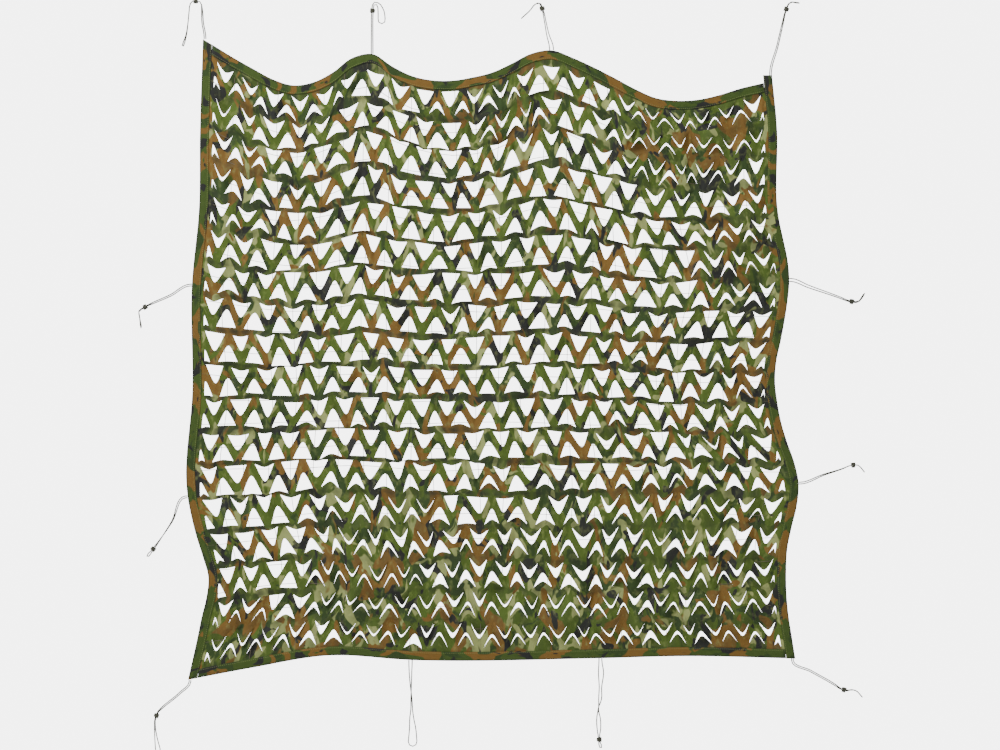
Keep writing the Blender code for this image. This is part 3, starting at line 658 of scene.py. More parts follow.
def net_sheet(hem_set, sizes):
    """The cloth's middle surface: points, quads, flat places and shares of painted shade on the
    creases.

    Every gap is a ring of quads between the middle lines of the strips about it and its
    rounded edge. Arms twist, one edge forwards and the other back, and tongues roll
    out of the plane.
    """
    rng = np.random.default_rng(SEED)
    r, j = np.meshgrid(np.arange(ROWS + 1), np.arange(2 * COLUMNS + 1), indexing="ij")
    u, v = j / (2 * COLUMNS), r / ROWS
    shake = rng.uniform(-1, 1, (*r.shape, 2)) * np.array(JOINT_SHAKE)
    shake[[0, -1]] = 0
    shake[:, [0, -1]] = 0
    joint = np.concatenate([net_points(hem_set, u, v) + shake, u[..., None], v[..., None]], axis=2)
    twist = rng.normal(0, 1, (2, ROWS, COLUMNS + 2)).clip(-MOST_TWIST, MOST_TWIST)
    row, col = [k.ravel() for k in np.meshgrid(np.arange(ROWS), np.arange(COLUMNS), indexing="ij")]
    inner = col < COLUMNS - 1
    rows, cols = row[inner], col[inner]
    side = np.arange(ROWS)
    last = 2 * COLUMNS
    kinds = (
        (joint[row, 2 * col], joint[row, 2 * col + 1], joint[row, 2 * col + 2],
         joint[row + 1, 2 * col + 1], twist[0, row, col], twist[1, row, col + 1], 1),
        (joint[rows + 1, 2 * cols + 1], joint[rows + 1, 2 * cols + 2],
         joint[rows + 1, 2 * cols + 3], joint[rows, 2 * cols + 2],
         twist[1, rows, cols + 1], twist[0, rows, cols + 1], -1),
        (joint[side + 1, 0], None, joint[side + 1, 1], joint[side, 0],
         0 * side, twist[0, side, 0], -1),
        (joint[side + 1, last - 1], None, joint[side + 1, last], joint[side, last],
         twist[1, side, COLUMNS], 0 * side, -1),
    )
    points, quads, crease_shades, first = [], [], [], 0
    for a, m, b, t, twist_a, twist_b, way in kinds:
        count = len(a)
        middle = (a + b + t) / 3
        slack = slack_at(middle[:, 0], middle[:, 1]) + rng.uniform(*SLACK_SPREAD, count)
        loose = rng.uniform(0, 1, count) < LOOSE_CELLS
        slack = np.where(loose, slack + LOOSE_SLACK, slack).clip(0, MOST_SLACK)
        widths = (sizes.strip_width, rng.uniform(*CHORD_WIDTHS, count))
        outer, edge, arm, lift_arm, lift_base = gap_rings(a, m, b, t, widths, slack)
        arm_twist = np.where(arm[None] > 0, twist_a[:, None], twist_b[:, None])
        roll = np.where(rng.uniform(0, 1, count) < FORWARD_ROLLS, -1, 1)
        roll = roll * rng.uniform(*ROLL_SPREAD, count)
        arm_lift = way * TWIST_DEPTH * arm_twist * lift_arm
        base_lift = TONGUE_DEPTH * roll[:, None] * lift_base * (ROLL_AT_REST + slack[:, None])
        outer_y, edge_y = cloth_depth(hem_set, outer), cloth_depth(hem_set, edge)
        u_in, v_in = edge[..., 2], edge[..., 3]
        to_rim = (u_in * COLUMNS, (1 - u_in) * COLUMNS, v_in * ROWS, (1 - v_in) * ROWS)
        calm = ramp(np.minimum.reduce(to_rim) / EDGE_CALM)
        lift = np.concatenate([arm_lift, base_lift], axis=1) * calm
        half = (outer + edge) / 2
        half_y = (outer_y + edge_y) / 2 + 0.5 * lift
        half_y[:, 2 * ARM_STEPS:] += CHORD_SWELL * lift[:, 2 * ARM_STEPS:]
        ring = outer.shape[1]
        # Painted shade on the chords: darkest mid-chord, fading towards the gap's edge and as the gap
        # closes.
        chord_shape = np.abs(np.sin(np.pi * np.arange(ring - 2 * ARM_STEPS) / CHORD_STEPS))
        chord_crease_shade = CHORD_CREASE_SHADE[0] + CHORD_CREASE_SHADE[1] * chord_shape
        dark = np.concatenate([np.zeros(2 * ARM_STEPS), chord_crease_shade])[None]
        open_share = (1 - CREASE_SHADE_CLOSED * slack)[:, None]
        rings = ((outer, outer_y), (half, half_y), (edge, edge_y + lift))
        for (p, y), share in zip(rings, RING_CREASE_SHADE):
            points.append(with_depth(p, np.clip(y, *DEPTH_RANGE)).reshape(-1, 5))
            crease_shades.append((dark * share * open_share).ravel())
        i = np.arange(ring)
        base = first + ring * np.arange(count)[:, None]
        for k in (0, 1):
            low, high = base + k * ring * count, base + (k + 1) * ring * count
            after = (i + 1) % ring
            quad = np.stack([low + i, low + after, high + after, high + i], axis=-1)
            quads.append(quad.reshape(-1, 4))
        first += 3 * ring * count
    points.append(rim_points(hem_set, joint))
    crease_shades.append(np.zeros(len(points[-1])))
    rim_count = len(points[-1]) // 2
    i = first + np.arange(rim_count)
    after = first + (np.arange(rim_count) + 1) % rim_count
    quads.append(np.stack([i, after, after + rim_count, i + rim_count], axis=-1))
    return np.concatenate(points), np.concatenate(quads), np.concatenate(crease_shades)


def with_depth(p, y):
    """Rows of x, z, u, v with their depth y put in, as x, y, z, u, v."""
    return np.stack([p[..., 0], y, p[..., 1], p[..., 2], p[..., 3]], axis=-1)


def rim_points(hem_set, joint):
    """The cloth's rim: a closed ring along the net's edge, and that ring tucked into the tape."""
    g = np.arange(CHORD_STEPS) / CHORD_STEPS
    f = np.arange(ARM_STEPS) / ARM_STEPS
    sides = (
        ("top", joint[0], g, 2),
        ("right", joint[:, -1], f, 3),
        ("bottom", joint[-1][::-1], g, 2),
        ("left", joint[:, 0][::-1], f, 3),
    )
    near, tucked = [], []
    for name, course, w, axis in sides:
        p = course[:-1, None] + (course[1:] - course[:-1])[:, None] * w[None, :, None]
        p = p.reshape(-1, 4)
        y = cloth_depth(hem_set, p)
        in_tape = hem_line(hem_set, name, p[:, axis], TUCKED_WIDTH)
        near.append(with_depth(p, y))
        tucked.append(with_depth(np.concatenate([in_tape, p[:, 2:]], axis=1), y))
    return np.concatenate(near + tucked)


def merged(points, quads, crease_shades):
    """The same surface with points that share a place made one, and quads that vanish left out."""
    key = np.round(points[:, [0, 2]] * KEYS_PER_METRE).astype(np.int64)
    _, first, back = np.unique(key, axis=0, return_index=True, return_inverse=True)
    back = back.ravel()
    dark = np.zeros(len(first))
    # Each merged point keeps the darkest painted crease shade of the points it replaces.
    np.maximum.at(dark, back, crease_shades)
    faces = back[quads]
    whole = np.array([len(set(face)) == 4 for face in faces.tolist()])
    return points[first], faces[whole], dark


def add_piece(name, data, finish):
    """A new piece at the origin that rides on the net's one body."""
    made = bpy.data.objects.new(name, data)
    made.data.materials.append(finish)
    bpy.context.scene.collection.objects.link(made)
    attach(made, "root")
    return made


def surface(name, places, faces, flat=None, dark=None):
    """A smooth mesh from points and faces, with its flat places as its UV map and its shares of painted
    crease shade.
    """
    mesh = bpy.data.meshes.new(name)
    mesh.from_pydata(places.tolist(), [], faces if isinstance(faces, list) else faces.tolist())
    if dark is not None:
        crease_shade = mesh.attributes.new("crease_shade", "FLOAT", "POINT")
        crease_shade.data.foreach_set("value", dark.astype(np.float32))
    if flat is not None:
        layer = mesh.uv_layers.new(name="flat")
        corner = np.empty(len(mesh.loops), dtype=np.int64)
        mesh.loops.foreach_get("vertex_index", corner)
        layer.data.foreach_set("uv", flat[corner].astype(np.float32).ravel())
    mesh.polygons.foreach_set("use_smooth", np.ones(len(mesh.polygons), dtype=bool))
    work = bmesh.new()
    work.from_mesh(mesh)
    bmesh.ops.recalc_face_normals(work, faces=work.faces[:])
    closed = all(not edge.is_boundary for edge in work.edges)
    if closed and work.calc_volume(signed=True) < 0:
        bmesh.ops.reverse_faces(work, faces=work.faces[:])
    for edge in work.edges:
        edge.smooth = not edge.is_boundary
    work.to_mesh(mesh)
    work.free()
    mesh.update()
    return mesh


def area_of(places, faces):
    """Area of a surface of quads: half the length of the cross product of each one's diagonals."""
    corner = places[faces]
    cross = np.cross(corner[:, 2] - corner[:, 0], corner[:, 3] - corner[:, 1])
    return float(np.linalg.norm(cross, axis=1).sum() / 2)


def smooth_course(rows, steps):
    """Cubic curve through rows of numbers by the distance between them, steps points to a span."""
    run = np.concatenate([[0], np.cumsum(np.linalg.norm(np.diff(rows[:, :2], axis=0), axis=1))])
    slope = np.gradient(rows, run, axis=0)
    f = (np.arange(steps) / steps)[:, None]
    spans = []
    for k, width in enumerate(np.diff(run)):
        spans.append(cubic(f, width, rows[k], rows[k + 1], slope[k], slope[k + 1]))
    return np.vstack([*spans, rows[-1:]])


def evenly(points, step):
    """The same course with a point at every step, and its first and last stretches kept straight."""
    middle = points[SPAN_STEPS:-SPAN_STEPS]
    run = np.concatenate([[0], np.cumsum(np.linalg.norm(np.diff(middle, axis=0), axis=1))])
    at = np.linspace(0, run[-1], round(run[-1] / step) + 1)
    course = np.stack([np.interp(at, run, middle[:, k]) for k in range(3)], axis=1)
    return np.vstack([points[:1], course, points[-1:]])


def tie_outward(name):
    """The x, z direction in which a tie of that name leaves its hem."""
    return {
        "top": np.array((0.0, 1.0)),
        "bottom": np.array((0.0, -1.0)),
        "left": np.array((-1.0, 0.0)),
        "right": np.array((1.0, 0.0)),
    }[name.rsplit("_", 1)[0]]


def tie_rows(name, rows):
    """A tie's rows as numbers, straight where it leaves the hem and through its knot.

    Returns the rows and, for the knot, its middle and direction, or None.
    """
    out = tie_outward(name)
    kinds = [row[0] for row in rows]
    values = np.array([row[1:] for row in rows])
    kept = []
    knot = None
    for i, (kind, value) in enumerate(zip(kinds, values)):
        if kind == "exit":
            for away in (PIECE_GAP, STRAIGHT_OUT):
                kept.append(np.concatenate([value[:2] + out * away, value[2:]]))
        elif kind == "knot":
            way = values[i + 1][:2] - values[i - 1][:2]
            way = way / np.linalg.norm(way)
            knot = value[:2], way
            for along in (-KNOT_LEAD, 0.0, KNOT_LEAD):
                kept.append(np.concatenate([value[:2] + way * along, value[2:]]))
        else:
            kept.append(value)
    return np.array(kept), knot


def cord_course(rows, depth):
    """One cord's centre line: out along one side of a doubled route, round its eye and back."""
    fine = smooth_course(rows, SPAN_STEPS)
    along = np.gradient(fine[:, :2], axis=0)
    along = along / np.linalg.norm(along, axis=1)[:, None]
    turn = np.radians(fine[:, 3])
    half = fine[:, 2] / 2
    side = np.stack([-along[:, 1] * np.cos(turn), np.sin(turn), along[:, 0] * np.cos(turn)], axis=1)
    middle = np.stack([fine[:, 0], np.full(len(fine), depth), fine[:, 1]], axis=1)
    out = middle + side * half[:, None]
    back = middle - side * half[:, None]
    ahead = np.array((along[-1, 0], 0.0, along[-1, 1]))
    angle = np.pi * np.arange(1, EYE_STEPS) / EYE_STEPS
    eye = middle[-1] + half[-1] * (
        np.cos(angle)[:, None] * side[-1] + np.sin(angle)[:, None] * ahead
    )
    return np.vstack([out, eye, back[::-1]])


def ring_faces(count, sides):
    """Faces of a tube of count rings with that many sides: quads along it and a face on each end."""
    i, k = np.meshgrid(np.arange(count - 1), np.arange(sides), indexing="ij")
    after = (k + 1) % sides
    here, there = i * sides, (i + 1) * sides
    quads = np.stack([here + k, here + after, there + after, there + k], axis=2)
    ends = [list(range(sides)), list(range((count - 1) * sides, count * sides))]
    return quads.reshape(-1, 4).tolist() + ends


def tube(path, square_to, radius, sides):
    """A closed tube: at each point of the path a ring radius (across cos a + up sin a).

    Across is square to the path and to the direction square_to, and up to path and across.
    """
    along = np.gradient(path, axis=0)
    along /= np.linalg.norm(along, axis=1)[:, None]
    across = np.cross(along, square_to)
    across /= np.linalg.norm(across, axis=1)[:, None]
    up = np.cross(across, along)
    angle = 2 * np.pi * np.arange(sides) / sides
    rings = path[:, None] + radius * (
        np.cos(angle)[None, :, None] * across[:, None]
        + np.sin(angle)[None, :, None] * up[:, None]
    )
    return rings.reshape(-1, 3), ring_faces(len(path), sides)


def knot_surface(middle, way, depth):
    """A knot: the cord wound round both strands. Its path is a helix that swells in the middle."""
    share = np.linspace(0, 1, KNOT_POINTS)
    angle = 2 * np.pi * KNOT_TURNS * share
    swell = KNOT_END_SHARE + (1 - KNOT_END_SHARE) * np.sin(np.pi * share)
    radius = (KNOT_RADIUS - CORD_DIAMETER / 2) * swell
    along = (share - 0.5) * (KNOT_LENGTH - CORD_DIAMETER)
    ahead = np.array((way[0], 0.0, way[1]))
    side = np.array((-way[1], 0.0, way[0]))
    back = np.array((0.0, 1.0, 0.0))
    path = np.array((middle[0], depth, middle[1])) + along[:, None] * ahead
    path = path + (radius * np.cos(angle))[:, None] * side
    path = path + (radius * np.sin(angle))[:, None] * back
    return tube(path, ahead, CORD_DIAMETER / 2, KNOT_SIDES)


def tape_rows(hem):
    """A hem's cross lines, closer together: outer x, z, inner x, z and depth on a cubic curve."""
    outer, inner = hem
    rows = np.concatenate([outer, inner, lie(outer[:, 0], outer[:, 1])[:, None]], axis=1)
    return smooth_course(rows, TAPE_STEPS)


def tape_surface(hem):
    """The folded tape: a U section carried along the hem.

    A corner at share s of the width lies at outer + (inner - outer) s, and the whole section
    moves in depth by the puckers' sine waves. Also returns its flat places and length.
    """
    rows = tape_rows(hem)
    half = CLOTH_THICKNESS / 2 + SLOT_FIT
    face = half + TAPE_WALL
    fold = 1 - (TUCK + 2 * SLOT_FIT) / TAPE_WIDTH
    share, depth = np.array(TAPE_PROFILE, float).T
    share = np.concatenate([share, (1, fold, fold, 1)])
    depth = np.concatenate([depth * face, (half, half, -half, -half)])
    run = np.concatenate([[0], np.cumsum(np.hypot(*np.diff(rows[:, :2], axis=0).T))])
    pucker = sum(high * np.sin(run * 2 * np.pi / wave + phase) for high, wave, phase in PUCKERS)
    outer, inner = rows[:, None, 0:2], rows[:, None, 2:4]
    plan = outer + (inner - outer) * share[None, :, None]
    y = (rows[:, 4] + pucker)[:, None] + depth[None]
    places = np.stack([plan[..., 0], y, plan[..., 1]], axis=2)
    across = (share * TAPE_WIDTH * np.sign(-depth))[None]
    flat = np.stack(np.broadcast_arrays(run[:, None], across), axis=2)
    faces = ring_faces(*places.shape[:2])
    return places.reshape(-1, 3), faces, flat.reshape(-1, 2), float(run[-1])


class Value:
    """A socket that plain arithmetic can be written with: each sign adds its Math node."""

    def __init__(self, nodes, socket):
        self.nodes, self.socket = nodes, socket

    def maths(self, operation, *values, clamp=False):
        """The Math node of that operation on the values."""
        settings = {"operation": operation, "use_clamp": clamp}
        return self.nodes.add("Math", settings, dict(enumerate(values)))

    def __add__(self, other):
        return self.maths("ADD", self, other)

    def __sub__(self, other):
        return self.maths("SUBTRACT", self, other)

    def __mul__(self, other):
        return self.maths("MULTIPLY", self, other)

    def __rsub__(self, other):
        return self.maths("SUBTRACT", other, self)

    __radd__, __rmul__ = __add__, __mul__

    def above(self, level, width):
        """0 below the level, 1 above it, with a soft step of that width."""
        return self.maths("MULTIPLY", self - (level - width / 2), 1 / width, clamp=True)

    def wave(self):
        """Sine of the value."""
        return self.maths("SINE", self)

    def size(self):
        """The value without its sign."""
        return self.maths("ABSOLUTE", self)


class Nodes:
    """A material's node tree, to which every node is added by one method."""

    def __init__(self, name):
        self.material = bpy.data.materials.new(name)
        self.material.use_nodes = True
        self.tree = self.material.node_tree
        self.shader = self.tree.nodes["Principled BSDF"]

    def add(self, kind, settings, inputs, output=0):
        """Adds a node of a kind, sets it, then gives its sockets values or links."""
        node = self.tree.nodes.new("ShaderNode" + kind)
        for key, value in settings.items():
            setattr(node, key, value)
        for key, value in inputs.items():
            self.feed(node.inputs[key], value)
        return Value(self, node.outputs[output])

    def feed(self, socket, value):
        """Links a value to a socket, or sets the socket to a plain number or colour."""
        if isinstance(value, Value):
            self.tree.links.new(value.socket, socket)
        else:
            socket.default_value = value

    def split(self, place):
        """The x and y of a place."""
        x = self.add("SeparateXYZ", {}, {0: place})
        return x, Value(self, x.socket.node.outputs[1])

    def mix(self, share, low, high):
        """Colour low, with share of colour high."""
        node = {"data_type": "RGBA"}
        return self.add("Mix", node, {0: share, 6: low, 7: high}, output=2)

    def noise(self, place, scale, detail=2.0, distortion=0.0):
        """Smooth noise between 0 and 1."""
        inputs = {"Vector": place, "Scale": scale, "Detail": detail, "Distortion": distortion}
        return self.add("TexNoise", {}, inputs)

    def moved(self, place, shift, scale=(1, 1, 1)):
        """The place scaled and then shifted."""
        return self.add("Mapping", {}, {"Vector": place, "Location": shift, "Scale": scale})

    def finish(self, colour, roughness, height, distance, sheen):
        """The material with its colour, roughness, bump from a height, and sheen."""
        self.feed(self.shader.inputs["Base Color"], colour)
        self.feed(self.shader.inputs["Roughness"], roughness)
        self.shader.inputs["Sheen Weight"].default_value = sheen
        self.shader.inputs["Specular IOR Level"].default_value = 0.3
        bump = self.add("Bump", {}, {"Strength": 0.7, "Distance": distance, "Height": height})
        self.feed(self.shader.inputs["Normal"], bump)
        return self.material


def weave(nodes, place, pitch):
    """Height of a plain weave: the product of a sine wave along each thread direction."""
    x, y = nodes.split(place)
    turn = 2 * np.pi / pitch
    return (x * turn).wave() * (y * turn).wave()


def camouflage(nodes, place, colours, scale):
    """A general woodland print: soft-edged patches of noise over a green ground."""
    colour = colours["green"]
    for name, shift, size, detail, distortion, level, softness in PATCHES:
        patch = nodes.noise(nodes.moved(place, shift), size * scale, detail, distortion)
        colour = nodes.mix(patch.above(level, softness), colour, colours[name])
    return colour


def print_colours(settings):
    """The print's five colours by name, as opaque colours."""
    names = ("green", "dark", "brown", "black", "pale")
    return {name: (*getattr(settings, name), 1.0) for name in names}


def cloth_material(settings):
    """Printed polyester: the print, paler worn patches, painted shade darkening the creases and a plain
    weave.
    """
    nodes = Nodes("printed_cloth")
    flat = nodes.add("UVMap", {"uv_map": "flat"}, {})
    colour = camouflage(nodes, flat, print_colours(settings), 1.0)
    wear = nodes.noise(flat, 60, 4)
    worn = nodes.mix(wear.above(0.62, 0.2) * 0.35, colour, (*settings.pale, 1.0))
    # Painted shade: the attribute from the sheet darkens the chords' creases towards near-black.
    crease_shade = nodes.add("Attribute", {"attribute_name": "crease_shade"}, {}, output=2)
    shade = nodes.mix(crease_shade * 0.85, worn, CREASE_SHADE_COLOUR)
    height = weave(nodes, flat, 0.0016) * 0.2 + nodes.noise(flat, 30, 3, 0.8) * 5.0
    return nodes.finish(shade, wear * 0.2 + 0.7, height, 0.0012, 0.15)


def tape_material(settings):
    """Printed tape: longer, duller patches, a darker folded edge and a row of pale stitches."""
    nodes = Nodes("printed_tape")
    flat = nodes.add("UVMap", {"uv_map": "flat"}, {})
    long = nodes.moved(flat, (0, 0, 0), (0.6, 1.0, 1))
    colours = print_colours(settings)
    pairs = zip(colours["dark"], colours["green"])
    colours["green"] = tuple(0.55 * dark + 0.45 * green for dark, green in pairs)
    colours["pale"] = colours["green"]
    colour = camouflage(nodes, long, colours, 1.3)
    run, across = nodes.split(flat)
    across = across.size()
    edge = 1 - across.above(0.0035, 0.003)
    colour = nodes.mix(edge * 0.75, colour, FOLD_COLOUR)
    dash = (run * (2 * np.pi / STITCH_LENGTH)).wave().above(-0.2, 0.3)
    row = 1 - (across - STITCH_IN).size().above(0.0006, 0.0004)
    colour = nodes.mix(dash * row * 0.6, colour, (*settings.pale, 1.0))
    height = weave(nodes, flat, 0.0014) * 0.4 + nodes.noise(flat, 60, 3) * 1.5 - row * 1.0
    return nodes.finish(colour, nodes.noise(flat, 50, 3) * 0.2 + 0.68, height, 0.0008, 0.1)


def cord_material(settings):
    """Braided cord: dark olive with greyer frayed fibres."""
    nodes = Nodes("braided_cord")
    place = nodes.add("TexCoord", {}, {}, output=3)
    fibre = nodes.noise(place, 420, 4, 1.0)
    tone = nodes.noise(place, 30, 2)
    frayed = fibre.above(0.55, 0.25) * 0.5
    colour = nodes.mix(frayed, (*settings.cord, 1.0), (0.17, 0.17, 0.13, 1.0))
    colour = nodes.mix(tone.above(0.5, 0.3) * 0.4, colour, (0.02, 0.022, 0.012, 1.0))
    return nodes.finish(colour, fibre * 0.2 + 0.7, fibre, 0.0012, 0.2)


def thread_material(settings):
    """Support thread: thin grey-brown yarn with uneven tone."""
    nodes = Nodes("support_thread")
    place = nodes.add("TexCoord", {}, {}, output=3)
    tone = nodes.noise(place, 90, 3)
    colour = nodes.mix(tone, (*settings.thread, 1.0), (0.10, 0.08, 0.05, 1.0))
    return nodes.finish(colour, tone * 0.2 + 0.7, nodes.noise(place, 900, 2), 0.0003, 0.1)


def floor_material():
    """Pale floor with a faint unevenness."""
    nodes = Nodes("pale_floor")
    place = nodes.add("TexCoord", {}, {}, output=3)
    tone = nodes.noise(place, 2, 3)
    colour = nodes.mix(tone, (0.86, 0.86, 0.86, 1.0), (0.92, 0.92, 0.92, 1.0))
    return nodes.finish(colour, tone * 0.1 + 0.8, nodes.noise(place, 120, 2), 0.0002, 0.0)


def once(name, make, *values):
    """The material of that name, made the first time it is asked for."""
    return bpy.data.materials.get(name) or make(*values)


def length_property(name, description, default):
    """A length, in metres."""
    return bpy.props.FloatProperty(
        name=name, description=description, default=default, unit="LENGTH"
    )


def colour_property(name, description, default):
    """A colour without opacity."""
    return bpy.props.FloatVectorProperty(
        name=name, description=description, default=default, subtype="COLOR", min=0.0, max=1.0
    )


class NetSizes(bpy.types.PropertyGroup):
    """Sizes of the net that can be changed before it is built"""

    strip_width: length_property("Strip width", "Width of the strips between the gaps", 0.0172)
    cloth_thickness: length_property("Cloth thickness", "Thickness of the printed cloth", 0.0008)
    thread_radius: length_property("Thread radius", "Radius of the support threads", 0.0009)
    floor_height: length_property("Floor height", "Height of the floor from the top hem", -2.45)


class NetColours(bpy.types.PropertyGroup):
    """Colours of the print, the cords and the threads"""

    green: colour_property("Green", "Ground colour of the print", (0.052, 0.088, 0.004))
    dark: colour_property("Dark green", "Darker green of the print", (0.018, 0.040, 0.003))
    brown: colour_property("Brown", "Brown of the print", (0.140, 0.072, 0.007))
    black: colour_property("Black", "Near-black of the print", (0.008, 0.009, 0.007))
    pale: colour_property("Pale green", "Palest green of the print", (0.235, 0.265, 0.085))
    cord: colour_property("Cord", "Colour of the cord ties", (0.022, 0.024, 0.010))
    thread: colour_property("Thread", "Colour of the support threads", (0.12, 0.10, 0.065))


class NET_OT_stage(bpy.types.Operator):
    """Camera, pale floor and soft light"""

    bl_idname = "net.stage"
    bl_label = "Stage"

    def execute(self, context):
        scene = context.scene
        camera = bpy.data.objects.new("camera", bpy.data.cameras.new("camera"))
        camera.data.lens = CAMERA_LENS
        camera.data.sensor_width = 36.0
        camera.data.clip_end = 200.0
        camera.location = CAMERA_PLACE
        camera.rotation_euler = (np.pi / 2, 0.0, 0.0)
        scene.collection.objects.link(camera)
        scene.camera = camera
        angle = 2 * np.pi * np.arange(FLOOR_POINTS) / FLOOR_POINTS
        height = 0 * angle + scene.net_sizes.floor_height
        rim = np.stack([FLOOR_RADIUS * np.cos(angle), FLOOR_RADIUS * np.sin(angle), height], axis=1)
        data = bpy.data.meshes.new("floor")
        data.from_pydata(rim.tolist(), [], [list(range(FLOOR_POINTS))])
        data.materials.append(floor_material())
        floor = bpy.data.objects.new("floor", data)
        scene.collection.objects.link(floor)
        for name, place, size, power in LAMPS:
            lamp = bpy.data.lights.new(name, "AREA")
            lamp.size, lamp.energy = size, power
            light = bpy.data.objects.new(name, lamp)
            light.location = place
            aim = np.array(LAMP_AIM) - np.array(place)
            tilt = np.arctan2(np.hypot(aim[0], aim[1]), -aim[2])
            light.rotation_euler = (tilt, 0.0, np.arctan2(aim[1], aim[0]) - np.pi / 2)
            scene.collection.objects.link(light)
        world = bpy.data.worlds.new("pale_room")
        world.use_nodes = True
        light = world.node_tree.nodes["Background"]
        light.inputs["Color"].default_value = (1.0, 1.0, 1.0, 1.0)
        light.inputs["Strength"].default_value = ROOM_LIGHT
        seen = world.node_tree.nodes.new("ShaderNodeBackground")
        seen.inputs["Strength"].default_value = ROOM_SEEN
        rays = world.node_tree.nodes.new("ShaderNodeLightPath")
        both = world.node_tree.nodes.new("ShaderNodeMixShader")
        link = world.node_tree.links.new
        link(rays.outputs["Is Camera Ray"], both.inputs[0])
        link(light.outputs[0], both.inputs[1])
        link(seen.outputs[0], both.inputs[2])
        link(both.outputs[0], world.node_tree.nodes["World Output"].inputs["Surface"])
        scene.world = world
        return {"FINISHED"}


class NET_OT_ties(bpy.types.Operator):
    """Twelve doubled cord ties and their knots"""

    bl_idname = "net.ties"
    bl_label = "Ties"

    def execute(self, context):
        finish = once("braided_cord", cord_material, context.scene.net_colours)
        for name, rows in TIES.items():
            depth = float(lie(rows[0][1], rows[0][2]))
            values, knot = tie_rows(name, rows)
            path = evenly(cord_course(values, depth), CORD_STEP)
            curve = bpy.data.curves.new("cord_" + name, "CURVE")
            curve.dimensions = "3D"
            curve.bevel_depth = CORD_DIAMETER / 2
            curve.bevel_resolution = 3
            curve.use_fill_caps = True
            spline = curve.splines.new("POLY")
            spline.points.add(len(path) - 1)
            weighted = np.concatenate([path, np.ones((len(path), 1))], axis=1)
            spline.points.foreach_set("co", weighted.ravel())
            cord = add_piece("cord_" + name, curve, finish)
            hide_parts("tie_" + name)
            if knot:
                mesh = surface("wound_knot_" + name, *knot_surface(*knot, depth))
                wound = add_piece("wound_knot_" + name, mesh, finish)
                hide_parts("knot_" + name)
        return {"FINISHED"}


class NET_OT_tapes(bpy.types.Operator):
    """Four lengths of printed tape folded over the cloth's edges"""

    bl_idname = "net.tapes"
    bl_label = "Edge tapes"

    def execute(self, context):
        finish = once("printed_tape", tape_material, context.scene.net_colours)
        for side, hem in hems().items():
            places, faces, flat, length = tape_surface(hem)
            mesh = surface("edge_tape_" + side, places, faces, flat)
            tape = add_piece("edge_tape_" + side, mesh, finish)
            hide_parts("tape_" + side)
        return {"FINISHED"}


class NET_OT_cloth(bpy.types.Operator):
    """The slit printed cloth, pulled open into a net"""

    bl_idname = "net.cloth"
    bl_label = "Net cloth"

    def execute(self, context):
        sizes = context.scene.net_sizes
        points, faces, dark = merged(*net_sheet(hems(), sizes))
        places = points[:, :3]
        flat = points[:, 3:] * np.array(FLAT_SIZE)
        mesh = surface("slit_cloth", places, faces, flat, dark)
        finish = once("printed_cloth", cloth_material, context.scene.net_colours)
        cloth = add_piece("slit_cloth", mesh, finish)
        wall = cloth.modifiers.new("thickness", "SOLIDIFY")
        wall.thickness = sizes.cloth_thickness
        wall.offset = 0.0
        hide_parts("net_cloth")
        area_of(places, faces)
        return {"FINISHED"}


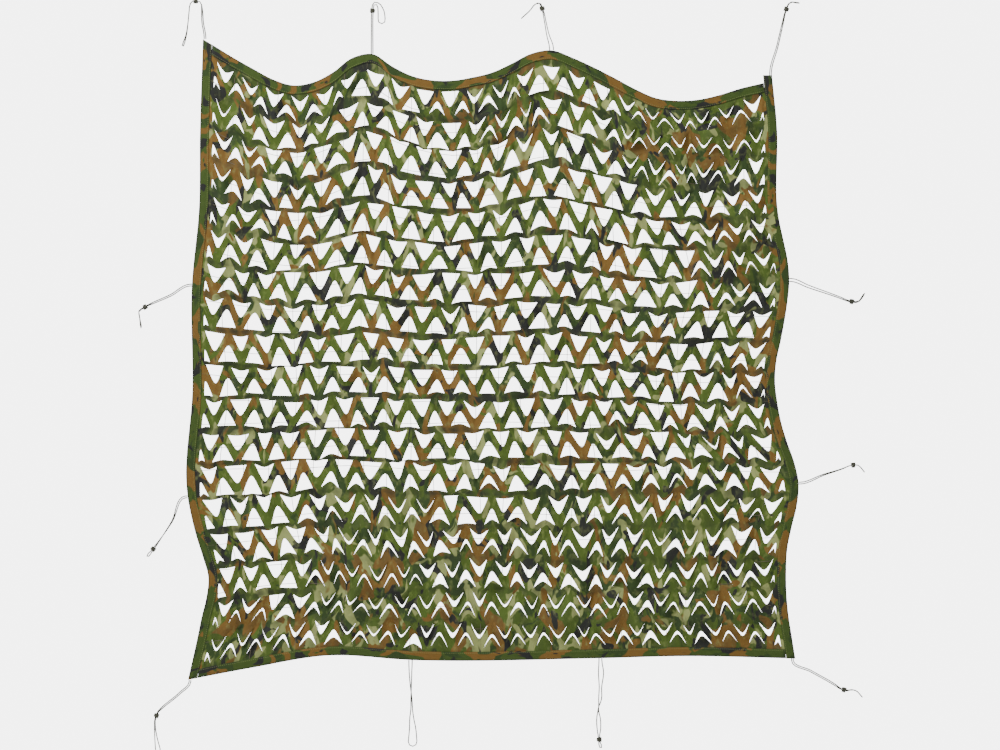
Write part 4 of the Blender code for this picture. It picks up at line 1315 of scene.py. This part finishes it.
class NET_OT_threads(bpy.types.Operator):
    """Thin support threads in squares behind the cloth"""

    bl_idname = "net.threads"
    bl_label = "Support threads"

    def execute(self, context):
        hem_set = hems()
        rng = np.random.default_rng(SEED)
        radius = context.scene.net_sizes.thread_radius
        share = np.linspace(0, 1, THREAD_STEPS)
        places, faces, first = [], [], 0
        for count, upright in ((THREADS_ACROSS, True), (THREADS_DOWN, False)):
            for k in range(1, count):
                wander = ripples(share * 2, share * 0 + k, 4, 0.5, int(rng.integers(999)))
                across = k / count + THREAD_WANDER * wander
                u, v = (across, share) if upright else (share, across)
                plan = net_points(hem_set, u, v)
                y = cloth_depth(hem_set, np.concatenate([plan, u[:, None], v[:, None]], axis=1))
                behind = THREAD_BEHIND * ramp(np.minimum(share, 1 - share) * THREAD_RISE)
                y = np.clip(y + behind, *DEPTH_RANGE)
                path = np.stack([plan[:, 0], y, plan[:, 1]], axis=1)
                head, tail = path[0] - path[1], path[-1] - path[-2]
                path = np.vstack([
                    path[:1] + head / np.linalg.norm(head) * THREAD_TUCK,
                    path,
                    path[-1:] + tail / np.linalg.norm(tail) * THREAD_TUCK,
                ])
                rings, quads = tube(path, (0.0, 1.0, 0.0), radius, THREAD_SIDES)
                places.append(rings)
                faces += [[first + i for i in face] for face in quads]
                first += len(rings)
        finish = once("support_thread", thread_material, context.scene.net_colours)
        mesh = surface("support_threads", np.concatenate(places), faces)
        threads = add_piece("support_threads", mesh, finish)
        return {"FINISHED"}


STEPS = ("stage", "ties", "tapes", "cloth", "threads")


class NET_PT_panel(bpy.types.Panel):
    """Sizes and colours, and a button for each step"""

    bl_label = "Camouflage net"
    bl_idname = "NET_PT_panel"
    bl_space_type = "VIEW_3D"
    bl_region_type = "UI"
    bl_category = "Net"

    def draw(self, context):
        for group in (context.scene.net_sizes, context.scene.net_colours):
            for name in group.bl_rna.properties.keys():
                if name not in ("rna_type", "name"):
                    self.layout.prop(group, name)
        for step in STEPS:
            self.layout.operator("net." + step)


CLASSES = (
    NetSizes, NetColours, NET_OT_stage, NET_OT_ties, NET_OT_tapes, NET_OT_cloth,
    NET_OT_threads, NET_PT_panel,
)


def register():
    """Adds the panel, the operators and their settings."""
    for item in CLASSES:
        bpy.utils.register_class(item)
    bpy.types.Scene.net_sizes = bpy.props.PointerProperty(type=NetSizes)
    bpy.types.Scene.net_colours = bpy.props.PointerProperty(type=NetColours)


def unregister():
    """Removes what register added."""
    del bpy.types.Scene.net_colours
    del bpy.types.Scene.net_sizes
    for item in reversed(CLASSES):
        bpy.utils.unregister_class(item)


def main():
    """Builds every piece."""
    register()
    for step in STEPS:
        getattr(bpy.ops.net, step)()
    bpy.context.view_layer.update()


if __name__ == "__main__":
    main()
